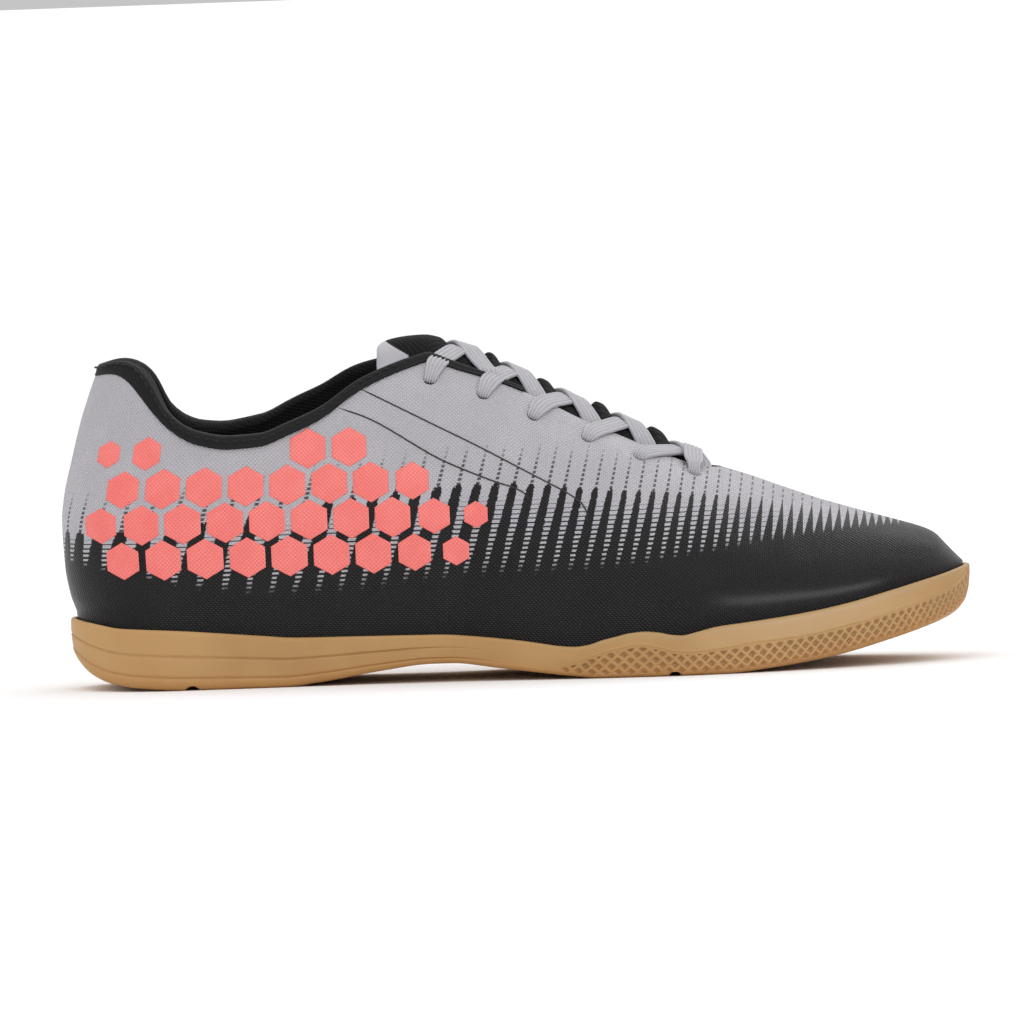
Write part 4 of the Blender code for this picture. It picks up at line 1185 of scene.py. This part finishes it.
def make_outsole(surface):
    rows = np.array(SIDE_ROWS)
    grids, tread, inside = [], {}, {}
    for side in (OUTER, INNER):
        points, normals = even_outline(side, side_lengths())
        x = points[:, 0]
        s = run_lengths(points)
        from_toe = s[-1] - s
        ring = points[None] - normals[None] * side_step(rows)[:, None, None]
        low, high = underside(ring[..., 0]), rim_level(x)[None]
        z = np.maximum(lerp(low, high, rows[:, None]), low + notch(ring[..., 0]))
        above = z - low
        pits = lattice(x[None], from_toe[None], above)
        relief = pits * LATTICE_DEPTH + side_relief(rows, x[None], above)
        ring = ring - normals[None] * relief[..., None]
        side_grid = np.concatenate([ring, z[..., None]], axis=-1)
        up = rows[:, None] * np.ones_like(z)
        inner = points - normals * RIM_WALL
        lip = np.stack([inner[:, 0], inner[:, 1], rim_level(x) - 0.0003], -1)
        floor = np.stack([inner[:, 0], inner[:, 1], bed_level(inner[:, 0])], -1)
        grids.append((side_grid, pits, up))
        cup = np.stack([side_grid[-1], lip, floor])
        grids.append((cup, np.zeros(cup.shape[:2]), np.ones(cup.shape[:2])))
        tread[side], inside[side] = side_grid[0], floor
    across = np.linspace(0, 1, TREAD_COLUMNS + 1)[None, :, None]
    bottom = lerp(tread[OUTER][:, None], tread[INNER][:, None], across)
    edge = np.minimum(across[..., 0], 1 - across[..., 0]) * TREAD_COLUMNS
    notched = notch(bottom[..., 0]) * (1 - ease(edge / TREAD_COLUMNS / NOTCH_REACH))
    depth = np.maximum(tread_depth(bottom) * ease(edge), notched)
    bottom[..., 2] = underside(bottom[..., 0]) + depth
    grids.append((bottom, np.zeros(bottom.shape[:2]), np.zeros(bottom.shape[:2])))
    bed = np.stack([inside[OUTER], inside[INNER]], axis=1)
    grids.append((bed, np.zeros(bed.shape[:2]), np.ones(bed.shape[:2])))
    outsole = grid_object("cup_sole", grids, [surface], ("sole_pit", "sole_up"))
    outsole.data.set_sharp_from_angle(angle=math.radians(50))
    return place(outsole, "gum_rubber", "outsole")


def groove(off):
    """Depth of a tread groove at a distance from its middle line."""
    return GROOVE_DEPTH * ease((GROOVE_WIDTH / 2 + GROOVE_SOFT / 2 - off) / GROOVE_SOFT)


def tread_depth(points):
    """Depth of the tread at each point: grooves, the pivot ring and fine chevrons."""
    x, y = points[..., 0], points[..., 1] - centre_line(points[..., 0])
    depth = np.zeros_like(x)
    for share in GROOVE_LINES:
        line = share * LENGTH
        slant = GROOVE_SLANT if share > 0.5 else -GROOVE_SLANT
        depth = np.maximum(depth, groove(abs(x - line + y * slant)))
    place_x = PIVOT_PLACE * LENGTH
    r = np.hypot(x - place_x, points[..., 1] - centre_line(place_x))
    depth = np.maximum(depth, groove(abs(r - PIVOT_RADIUS - GROOVE_WIDTH / 2)))
    wave = abs(((x + abs(y) * CHEVRON_SLANT) / CHEVRON_PITCH) % 1.0 - 0.5) * 2
    pads = ease((abs(x / LENGTH - 0.41) - 0.13) / 0.03)
    fine = CHEVRON_DEPTH * ease((wave - 0.55) / 0.25) * pads * ease((r - PIVOT_RADIUS) / 0.001)
    return np.maximum(depth, fine)


def make_insole(surface, columns=26, count=240):
    """Sockliner with a gently cupped heel and edges."""
    edges = {}
    for side in (OUTER, INNER):
        points, normals = even_outline(side, np.linspace(0, 1, count))
        edges[side] = points - normals * (INSOLE_INSET + 0.0001)
    t = np.linspace(0, 1, columns + 1)[None, :, None]
    flat = lerp(edges[OUTER][:, None], edges[INNER][:, None], t)
    low = bed_level(flat[..., 0]) + GAP
    rim = np.minimum(t[..., 0], 1 - t[..., 0])
    cup = 0.0012 * (1 - ease(rim / 0.16))
    top = np.concatenate([flat, (low + INSOLE_THICKNESS + cup)[..., None]], -1)
    bottom = np.concatenate([flat, low[..., None]], -1)
    walls = [np.stack([top[:, i], bottom[:, i]], axis=1) for i in (0, -1)]
    insole = grid_object("sockliner", [(grid,) for grid in (top, bottom, *walls)], [surface])
    insole.data.set_sharp_from_angle(angle=math.radians(60))
    return place(insole, "insole_fabric", "insole")


# Padded collar: a soft roll on the edge of the upper, which thins out along the throat
COLLAR_ROLL = (
    (0.16, -1.0), (0.45, -1.25), (0.78, -0.7), (0.97, 0.1), (1.03, 0.42), (0.9, 0.8), (0.45, 1.0),
)
COLLAR_PARTS = 5
COLLAR_OUT = 0.0006
BINDING_END = 0.146
BINDING_HEIGHT_SHARE = 0.62
COLLAR_DROP = 0.0034
COLLAR_DROP_LEAST = 0.0004
COLLAR_DROP_PLACE = 0.0225
COLLAR_DROP_REACH = 0.0075
BINDING_DEPTH = 0.001
BINDING_PAD = 0.00005
HEEL_SMOOTH_END = 0.03
HEEL_SMOOTH_FADE = 0.015
HEEL_SMOOTH_ROUNDS = 10


def band_height(x):
    """How far the collar's band and its binding stand above the upper's edge."""
    past = ease((x - COLLAR_END) / (BINDING_END - COLLAR_END))
    return COLLAR_BAND * lerp(1.0, BINDING_HEIGHT_SHARE, past)


def collar_share(x):
    return 1 - ease((x - COLLAR_FULL) / (COLLAR_END - COLLAR_FULL))


def collar_section(side, x):
    """Round the collar at a station, from the upper's edge over the top and down inside."""
    share = collar_share(x)
    quick = ease((x - COLLAR_END + 0.002) / 0.008)
    pad = lerp(lerp(COLLAR_PAD_END, COLLAR_PAD, share), BINDING_PAD, quick)
    depth = lerp(lerp(COLLAR_DEPTH_END, COLLAR_DEPTH, share), BINDING_DEPTH, quick)
    band = band_height(x)
    inside = UPPER_WALL + lerp(GAP, 0.00005, quick)
    edge, out = hanging(side, x, 0.0)
    lower, _ = hanging(side, x, 0.002)
    up = unit(edge - lower)
    near = math.exp(-(((x - COLLAR_DROP_PLACE) / COLLAR_DROP_REACH) ** 2))
    drop = lerp(COLLAR_DROP_LEAST, COLLAR_DROP, near)
    points = [edge + up * GAP * 0.5 + out * 0.0001]
    for part, shift in ((0.5, 0.0001), (1.0, 0.0001), (0.97, COLLAR_OUT), (0.5, COLLAR_OUT * 1.2)):
        point, normal = hanging(side, x, drop * part)
        points.append(point + normal * shift)
    for rise, inward in COLLAR_ROLL:
        shift = inward * (inside + pad) if inward > 0 else inward * COLLAR_OUT
        points.append(edge + up * band * rise - out * shift)
    for part in (0.0, 0.3, 0.6, 0.85):
        point, normal = hanging(side, x, depth * part)
        swell = pad * (1 - 0.6 * part**2)
        points.append(point - normal * (inside + swell))
    for part in (1.0, 0.5, 0.06):
        point, normal = hanging(side, x, depth * part)
        points.append(point - normal * inside)
    return np.array(points)


def make_collar(band, lining):
    throat = np.linspace(COLLAR_END, BINDING_END, 22)[1:]
    stations = np.concatenate([STATIONS[STATIONS <= COLLAR_END - 0.0005], throat])
    order = [(OUTER, x) for x in stations[::-1]] + [(INNER, x) for x in stations[1:]]
    loops = []
    for side, x in order:
        loops.append(rounded_line(collar_section(side, x), COLLAR_PARTS, closed=True))
    loops = np.array(loops)
    lengths = np.array([x for _, x in order])
    soft = ease((HEEL_SMOOTH_END - lengths[1:-1]) / HEEL_SMOOTH_FADE)[:, None, None] * 0.5
    for _ in range(HEEL_SMOOTH_ROUNDS):
        loops[1:-1] += soft * ((loops[:-2] + loops[2:]) / 2 - loops[1:-1])
    ends = [np.repeat(loops[i].mean(0, keepdims=True), len(loops[i]), 0) for i in (0, -1)]
    rows = np.array([ends[0], *loops, ends[1]])
    outside = 8 * COLLAR_PARTS
    collar = grid_object(
        "collar_padding",
        [(closed(rows),)],
        [band, lining],
        slots=lambda index, j, i: int(i > outside),
        weld=1e-7,
    )
    return place(collar, "collar_fabric", "collar")


# Small sewn and taped details that lie on a surface
def sweep(path, wide, normal, outline_points):
    """Rows of points: an outline of (across, up) pairs carried along a path."""
    a = np.array([p[0] for p in outline_points])[None, :, None]
    b = np.array([p[1] for p in outline_points])[None, :, None]
    return path[:, None] + wide[:, None] * a + normal[:, None] * b


def path_frames(path, normals):
    along = unit(np.gradient(path, axis=0))
    wide = unit(np.cross(along, normals))
    return wide, unit(np.cross(wide, along))


def stitches(name, lines, surface, length=0.0022, pitch=0.003, radius=0.00026, sides=6):
    """Rows of short thread stitches along lines of points with their normals."""
    turn = np.linspace(0, 2 * math.pi, sides + 1)
    shape = [(math.cos(a) * radius, math.sin(a) * radius) for a in turn]
    grids = []
    for path, normals in lines:
        s = run_lengths(path)
        for start in np.arange(pitch, s[-1] - pitch, pitch):
            at = start + length * np.linspace(0, 1, 6)
            p = np.stack([np.interp(at, s, path[:, i]) for i in range(3)], -1)
            n = unit(np.stack([np.interp(at, s, normals[:, i]) for i in range(3)], -1))
            dip = np.array([-1.0, 0.3, 0.8, 0.8, 0.3, -1.0])[:, None] * radius
            wide, up = path_frames(p + n * dip, n)
            fat = np.array([0.25, 0.9, 1.0, 1.0, 0.9, 0.25])[:, None, None]
            rows = sweep(np.zeros_like(p), wide, up, shape) * fat + (p + n * dip)[:, None]
            grids.append((rows,))
    return grid_object(name, grids, [surface], weld=1e-8)


def collar_stitch_lines():
    """Halfway up the collar's band outside."""
    stations = STATIONS[STATIONS <= COLLAR_END]
    order = [(OUTER, x) for x in stations[::-1]] + [(INNER, x) for x in stations[1:]]
    line = []
    for side, x in order:
        edge, out = hanging(side, x, 0.0)
        up = unit(edge - hanging(side, x, 0.002)[0])
        line.append((edge + up * COLLAR_BAND * 0.5 + out * (COLLAR_OUT * 1.25 + 0.00005), out))
    return [tuple(np.array(part) for part in zip(*line))]


# Thin dark seam lines of the overlay on both quarters: places along and heights in metres
SEAM_LINES = [
    [(0.0955, 0.092), (0.1277, 0.075), (0.1469, 0.0643), (0.16, 0.0568), (0.164, 0.0528),
     (0.1646, 0.049)],
    [(0.0887, 0.0863), (0.1002, 0.0815), (0.1184, 0.0701), (0.1329, 0.0633), (0.1425, 0.0597),
     (0.1456, 0.0577), (0.1463, 0.0558)],
]


def make_seam_lines(surface):
    grids = []
    for side in (OUTER, INNER):
        for points in SEAM_LINES:
            line = evenly(rounded_line(points), 0.0012)
            found = [skin_at(side, x, z)[:2] for x, z in line]
            path, normals = (np.array(part) for part in zip(*found))
            wide, up = path_frames(path, normals)
            taper = np.minimum(1, np.minimum(np.arange(len(path)), np.arange(len(path))[::-1]) / 3)
            shape = [(-1, -0.3), (-0.6, 0.55), (0, 0.8), (0.6, 0.55), (1, -0.3)]
            fat = 0.0003 * (0.3 + 0.7 * taper)[:, None, None]
            grids.append((sweep(path * 0, wide, up, shape) * fat + path[:, None],))
    return place(grid_object("seam_lines", grids, [surface]), "upper_synthetic")


# Coral film on both quarters: a honeycomb whose cells shrink away from its middle
COMB_MIDDLE = (0.066, 0.052)
COMB_PITCH = 0.0128
COMB_GAP = 0.0018
COMB_REACH = (0.062, 0.036)
COMB_CELL = (COMB_PITCH - COMB_GAP) / math.sqrt(3)
COMB_SMALLEST = 0.56
FILM = 0.00022
FILM_BELOW_EDGE = 0.001
FILM_ABOVE_SOLE = 0.0265
FILM_FROM_HEEL = 0.008
FILM_FROM_SEAM = 0.0008
SEAM_FALL = 0.52
SEAM_TILT_SHARE = 0.87


def comb_cells():
    """Middles and radii of the honeycomb's cells, in lengths along and heights."""
    cells = []
    for row in range(-4, 5):
        z = COMB_MIDDLE[1] + row * COMB_PITCH * math.sqrt(3) / 2
        for i in range(-6, 7):
            x = COMB_MIDDLE[0] + (i + 0.5 * (row % 2)) * COMB_PITCH
            off = math.hypot((x - COMB_MIDDLE[0]) / COMB_REACH[0], (z - COMB_MIDDLE[1]) / COMB_REACH[1])
            size = COMB_CELL * min(1.0, 1.75 - 1.05 * off)
            if size > COMB_CELL * COMB_SMALLEST:
                cells.append((x, z, size))
    return cells


def film_room(side, x, z):
    """How far a place is inside the quarter, clear of collar, sole, seam line and heel's back."""
    edge = float(np.interp(x, STATIONS, SKIN[side][:, -1, 2]))
    seam_x, seam_z = SEAM_LINES[1][0]
    seam = (seam_z - (x - seam_x) * SEAM_FALL - z) * SEAM_TILT_SHARE
    clear = edge - FILM_BELOW_EDGE - z, z - FILM_ABOVE_SOLE, x - FILM_FROM_HEEL, seam - FILM_FROM_SEAM
    return min(clear)


def make_comb(surface, angles=36, rings=5):
    grids = []
    turn = np.linspace(0, 2 * math.pi, angles + 1)
    corner = math.pi / 6
    folded = turn % (2 * corner) - corner
    hexagon = math.cos(corner) / np.cos(folded)
    for side in (OUTER, INNER):
        for x, z, size in comb_cells():
            if film_room(side, x, z) < size * 0.94:
                continue
            rows, u_rows, v_rows = [], [], []
            for share, lift in [(1.0, -0.1), (0.985, 0.75), (0.94, 1.0)] + [
                (0.94 * (1 - i / rings), 1.0) for i in range(1, rings + 1)
            ]:
                row = []
                for angle, reach in zip(turn, hexagon):
                    r = size * share * reach
                    row.append(skin_at(side, x + r * math.sin(angle), z + r * math.cos(angle)))
                rows.append([p + n * FILM * lift for p, n, _, _ in row])
                u_rows.append([u for _, _, u, _ in row])
                v_rows.append([v for _, _, _, v in row])
            grids.append((np.array(rows), np.array(u_rows), np.array(v_rows)))
    comb = grid_object("honeycomb_film", grids, [surface], ("skin_u", "skin_v"), weld=1e-7)
    return place(comb, "upper_synthetic")


# Tongue
TONGUE_ARCH = np.linspace(0.08, 0.92, 13)
TONGUE_SWELL_REACH = 0.0026
TONGUE_TIP_ROWS = [
    (1.0, 0.42, 1.45),
    (0.94, 0.58, 0.8),
    (0.78, 0.7, 0.34),
    (0.45, 0.76, 0.08),
    (0.18, 0.8, 0.0),
]
TONGUE_ARCH_MIN = 0.006


def below_at_half_width(side, x, half_span):
    """Distance below its edge at which the upper is that far from the ridge line."""
    k = int(np.clip(np.searchsorted(STATIONS, x) - 1, 0, len(STATIONS) - 2))
    section, ups = SKIN[side][k], VALUES[side][1][k]
    off = abs(section[:, 1] - ridge_line(x))[::-1]
    widest = int(np.argmax(off))
    return float(np.interp(half_span, off[: widest + 1], (ups[-1] - ups[::-1])[: widest + 1]))


def tongue_section(x, tunnel=LACE_TUNNEL, swell=1.0):
    """Outer face of the tongue across, pressed flat under the laces and swelling between them."""
    past = ease((x - THROAT_TOP - 0.004) / 0.01)
    offset = UPPER_WALL + GAP + (COLLAR_PAD_END + GAP) * (1 - past)
    reach = max(float(edge_half_width(x)), TONGUE_ARCH_MIN)
    sides = {}
    for side in (OUTER, INNER):
        start = below_at_half_width(side, x, reach)
        end = max(start, below_at_half_width(side, x, TONGUE_HALF_WIDTH))
        sides[side] = []
        for part in (1.0, 0.66, 0.33, 0.0):
            point, normal = hanging(side, x, lerp(start, end, part))
            sides[side].append(point - normal * (offset + tunnel * past * (0.4 + 0.6 * ease(part * 3))))
    outer, inner = sides[OUTER][-1], sides[INNER][-1]
    arch = []
    for part in TONGUE_ARCH:
        p = lerp(outer, inner, part)
        crown = 1 - abs(2 * part - 1) ** 2.8
        p[0] = lerp(p[0], x, crown)
        off = strand_distance(p[0], p[1]) - LACE_WIDTH / 2
        free = swell * ease(off / TONGUE_SWELL_REACH)
        top = lerp(float(tongue_pressed(x)), float(tongue_free(x)), free)
        p[2] += (ridge_level(x) + top - p[2]) * crown
        arch.append(p)
    return np.array(sides[OUTER] + arch + sides[INNER][::-1])


def make_tongue(surface):
    stations = np.concatenate([
        np.linspace(THROAT_TOP, THROAT_END, 64), np.linspace(THROAT_END, TONGUE_FRONT, 8)[1:]
    ])
    rows = [tongue_section(x) for x in stations]
    base = rows[0]
    middle = base[len(base) // 2]
    tip = []
    for share, width, drop in TONGUE_TIP_ROWS:
        shift = np.array([-(THROAT_TOP - TONGUE_TIP) * share, 0.0, -drop * TONGUE_TIP_DROP])
        tip.append(middle + (base - middle) * width + shift)
    tongue = grid_object("tongue_pad", [(np.array(tip + rows),)], [surface])
    face_outward(tongue)
    padding = tongue.modifiers.new("padding", "SOLIDIFY")
    padding.thickness = TONGUE_THICKNESS
    padding.offset = -1.0
    soft = tongue.modifiers.new("soft", "SUBSURF")
    soft.levels = soft.render_levels = 2
    apply_modifiers(tongue, 80.0)
    return place(tongue, "tongue_fabric", "tongue")


# Laces: one flat ribbon through all the eyelets
LACE_LIFT = LACE_THICKNESS / 2 + 0.00035
LACE_CROSSING_LIFT = LACE_THICKNESS + 0.00035
LACE_BAR_LIFT = 0.0024
LACE_TUCK_AHEAD = 0.003
LACE_STEP = 0.0009
LACE_RIBS = 5


def strand_plan(side, index):
    """Ends in plan of the strand from an eyelet to under the other edge by the next eyelet."""
    hole = hanging(side, *EYELETS[index])[0]
    tuck_x = EYELETS[index + 1][0] + LACE_TUCK_AHEAD
    tuck_y = ridge_line(tuck_x) - side * (edge_half_width(tuck_x) - LACE_THICKNESS)
    return hole[:2], np.array([tuck_x, tuck_y])


STRANDS = [strand_plan(side, i) for side in (OUTER, INNER) for i in range(len(EYELETS) - 1)]
STRANDS.append(tuple(hanging(side, *EYELETS[-1])[0][:2] for side in (OUTER, INNER)))


def strand_distance(x, y):
    """How far a place in plan lies from the middle line of the nearest strand of the lace."""
    found = []
    for start, end in STRANDS:
        run, off = end - start, np.array([x, y]) - start
        found.append(np.linalg.norm(off - run * np.clip(off @ run / (run @ run), 0.0, 1.0)))
    return min(found)


def instep_profile(x):
    """Outer faces across the throat at a length: outer eyestay, tongue, inner eyestay."""
    tongue = tongue_section(x, swell=0.0)
    reach = float(edge_half_width(x)) - 0.0002
    line = list(tongue[abs(tongue[:, 1] - ridge_line(x)) < reach])
    for side in (OUTER, INNER):
        line += [hanging(side, x, below)[0] for below in np.linspace(0.016, 0.0, 12)]
        if x < BINDING_END:
            edge, lower = line[-1], hanging(side, x, 0.002)[0]
            line.append(edge + unit(edge - lower) * band_height(x))
    line.sort(key=lambda point: point[1])
    return np.array(line)[:, 1:]


PROFILE_STATIONS = np.linspace(EYELETS[0][0] - 0.0004, EYELETS[-1][0] + 0.006, 46)
PROFILES = [instep_profile(x) for x in PROFILE_STATIONS]


def instep_level(x, y):
    i = int(np.clip(np.searchsorted(PROFILE_STATIONS, x) - 1, 0, len(PROFILES) - 2))
    t = (x - PROFILE_STATIONS[i]) / (PROFILE_STATIONS[i + 1] - PROFILE_STATIONS[i])
    levels = [np.interp(y, line[:, 0], line[:, 1]) for line in (PROFILES[i], PROFILES[i + 1])]
    return lerp(*levels, t)


def taut(distance, heights):
    """The line that a cord pulled tight over these heights takes."""
    hull = []
    for p in zip(distance, heights):
        while len(hull) > 1:
            (ax, az), (bx, bz) = hull[-2:]
            if (bx - ax) * (p[1] - az) - (bz - az) * (p[0] - ax) < 0:
                break
            hull.pop()
        hull.append(p)
    xs, zs = zip(*hull)
    return np.interp(distance, xs, zs)


def over_throat(start, end, lift, crossing, spread=0.16, count=34):
    """Points of a strand from above one place in plan to above another, pulled tight."""
    t = np.linspace(0, 1, count)
    plan = lerp(np.array(start)[None], np.array(end)[None], t[:, None])
    level = np.array([instep_level(x, y) for x, y in plan])
    distance = t * np.linalg.norm(np.array(end) - np.array(start))
    z = taut(distance, level) + LACE_LIFT
    z += lift * np.exp(-(((t - crossing) / spread) ** 2))
    return np.concatenate([plan, z[:, None]], -1)


def lace_half(first_side):
    """One half of the lace, from under its top eyelet down the zigzag to the last one."""
    points, widths = [], []

    def add(new, width):
        new = np.atleast_2d(new)
        points.extend(new)
        widths.extend(np.broadcast_to(width, len(new)))

    side = first_side
    for index, (x, from_edge) in enumerate(EYELETS):
        hole, normal = hanging(side, x, from_edge)
        for deep, width in ((-0.003, 0.68), (-0.0012, 0.6), (0.0005, 0.6)):
            add(hole + normal * deep, width)
        if index + 1 == len(EYELETS):
            break
        next_x, next_from_edge = EYELETS[index + 1]
        start, tuck = strand_plan(side, index)
        middle = float((ridge_line(x) - start[1]) / (tuck[1] - start[1]))
        lift = LACE_CROSSING_LIFT if side == INNER else 0.0
        strand = over_throat(start, tuck, lift, middle)
        grow = np.interp(np.linspace(0, 1, len(strand)), [0, 0.08, 0.2, 1], [0.7, 0.92, 1, 1])
        add(strand[3:], grow[3:])
        for part in (0.3, 0.65, 0.9):
            p, n = hanging(-side, lerp(tuck[0], next_x, part), next_from_edge * part)
            add(p - n * (UPPER_WALL + LACE_THICKNESS / 2 + 0.0003), lerp(0.95, 0.65, part))
        side = -side
    return np.array(points), np.array(widths)


def make_laces(surface):
    first, first_widths = lace_half(OUTER)
    second, second_widths = lace_half(INNER)
    bar = over_throat(first[-1][:2], second[-1][:2], LACE_BAR_LIFT, 0.5, 0.42)[2:-2]
    path = np.concatenate([first, bar, second[::-1]])
    shares = np.interp(np.linspace(0, 1, len(bar)), [0, 0.12, 0.88, 1], [0.6, 1, 1, 0.6])
    widths = np.concatenate([first_widths, shares, second_widths[::-1]])
    line = rounded_line(np.concatenate([path, widths[:, None]], -1), 4)
    line = evenly(line, LACE_STEP)
    for _ in range(2):
        line[1:-1] = (line[:-2] + 2 * line[1:-1] + line[2:]) / 4
    path, widths = line[:, :3], line[:, 3]
    slope = np.array([instep_slope(x) for x in path[:, 0]])
    ahead = unit(np.stack([np.ones_like(slope), slope * 0, slope], -1))
    along = unit(np.gradient(path, axis=0))
    wide = unit(ahead - along * (ahead * along).sum(-1, keepdims=True))
    up = unit(np.cross(along, wide))
    turn = np.linspace(0, 2 * math.pi, 72, endpoint=False)
    across = np.sign(np.cos(turn)) * abs(np.cos(turn)) ** 0.55 * LACE_WIDTH / 2
    ribs = 1 + 0.24 * np.cos(across / LACE_WIDTH * 2 * math.pi * LACE_RIBS)
    high = np.sign(np.sin(turn)) * abs(np.sin(turn)) ** 0.45 * LACE_THICKNESS / 2 * ribs
    squeeze = widths[:, None, None]
    rows = path[:, None] + wide[:, None] * across[None, :, None] * squeeze
    rows = rows + up[:, None] * (high[None, :, None] / np.sqrt(squeeze))
    u = run_lengths(path)[:, None] * np.ones((1, len(turn)))
    v = across[None] * np.ones((len(path), 1))
    caps = [np.repeat(rows[i].mean(0)[None], len(turn), 0) for i in (0, -1)]
    rows = np.concatenate([caps[0][None], rows, caps[1][None]])
    u, v = (np.concatenate([w[:1], w, w[-1:]]) for w in (u, v))
    grid = (closed(rows), closed(u[..., None])[..., 0], closed(v[..., None])[..., 0])
    laces = grid_object("lace_ribbon", [grid], [surface], ("lace_u", "lace_v"), weld=1e-7)
    crossings = [f"lace_crossing_{i}" for i in range(1, len(EYELETS))]
    return place(laces, "lace_fabric", "lace_bar", *crossings)


def instep_slope(x):
    return float((ridge_level(x + MM) - ridge_level(x - MM)) / (2 * MM))


# Floor and light
ROOM_LOW, ROOM_HIGH = 0.56, 1.3


def make_floor():
    bpy.ops.mesh.primitive_plane_add(size=60.0, location=(0.0, 0.0, 0.0))
    floor = bpy.context.object
    floor.name = "floor"
    g = Graph("floor_paper", (0.86, 0.86, 0.86), 0.95)
    g.shader.inputs["Specular IOR Level"].default_value = 0.0
    shade = g.noise(3.0, 2.0)
    g.colour(g.mix(shade, (0.952, 0.952, 0.952), (0.958, 0.958, 0.958)))
    floor.data.materials.append(g.material)


def add_light(name, place_at, aim, size, power):
    data = bpy.data.lights.new(name, "AREA")
    data.shape = "RECTANGLE"
    data.size, data.size_y = size
    data.energy = power
    lamp = bpy.data.objects.new(name, data)
    bpy.context.scene.collection.objects.link(lamp)
    lamp.location = place_at
    lamp.rotation_euler = (Vector(aim) - Vector(place_at)).to_track_quat("-Z", "Y").to_euler()
    return lamp


def make_light():
    """A white room that is brighter overhead, so that the floor runs into its walls unseen."""
    world = bpy.data.worlds.new("soft_room")
    world.use_nodes = True
    nodes, links = world.node_tree.nodes, world.node_tree.links
    place_at = nodes.new("ShaderNodeTexCoord")
    parts = nodes.new("ShaderNodeSeparateXYZ")
    rise = nodes.new("ShaderNodeMapRange")
    rise.inputs["From Min"].default_value = 0.02
    rise.inputs["From Max"].default_value = 0.9
    rise.inputs["To Min"].default_value = ROOM_LOW
    rise.inputs["To Max"].default_value = ROOM_HIGH
    links.new(place_at.outputs["Generated"], parts.inputs[0])
    links.new(parts.outputs["Z"], rise.inputs["Value"])
    background = nodes["Background"]
    background.inputs["Color"].default_value = (1.0, 1.0, 1.0, 1.0)
    links.new(rise.outputs[0], background.inputs["Strength"])
    bpy.context.scene.world = world
    bpy.context.scene.view_settings.view_transform = "Standard"
    add_light("key", (-0.3, -0.55, 1.0), (0.0, 0.0, 0.05), (0.7, 0.35), 0.9)
    add_light("rim", (0.35, 0.75, 0.75), (0.05, 0.0, 0.05), (0.8, 0.3), 1.2)
    streak = add_light("streak", (0.93, -1.0, 0.24), (0.09, 0.0, 0.04), (1.0, 0.2), 13.0)
    streak.visible_diffuse = False


band_tape = plain_knit("collar_tape", (0.004, 0.004, 0.005), (0.011, 0.011, 0.012), 0.7, 0.0001, 0.7)
lining_knit = plain_knit("lining_knit", (0.003, 0.003, 0.004), (0.009, 0.009, 0.01), 1.1, 0.0003)
edge_black = edge_material()
thread = plain_knit("thread", (0.008, 0.008, 0.009), (0.022, 0.022, 0.024), 0.4, 0.00005, 0.6)

make_upper(upper_material(), lining_knit, edge_black)
make_outsole(gum_material())
make_insole(insole_material())
make_collar(band_tape, lining_knit)
place(stitches("collar_stitches", collar_stitch_lines(), thread), "collar_fabric")
make_seam_lines(edge_black)
make_comb(coral_material())
make_tongue(tongue_material())
make_laces(lace_material())
make_floor()
make_light()
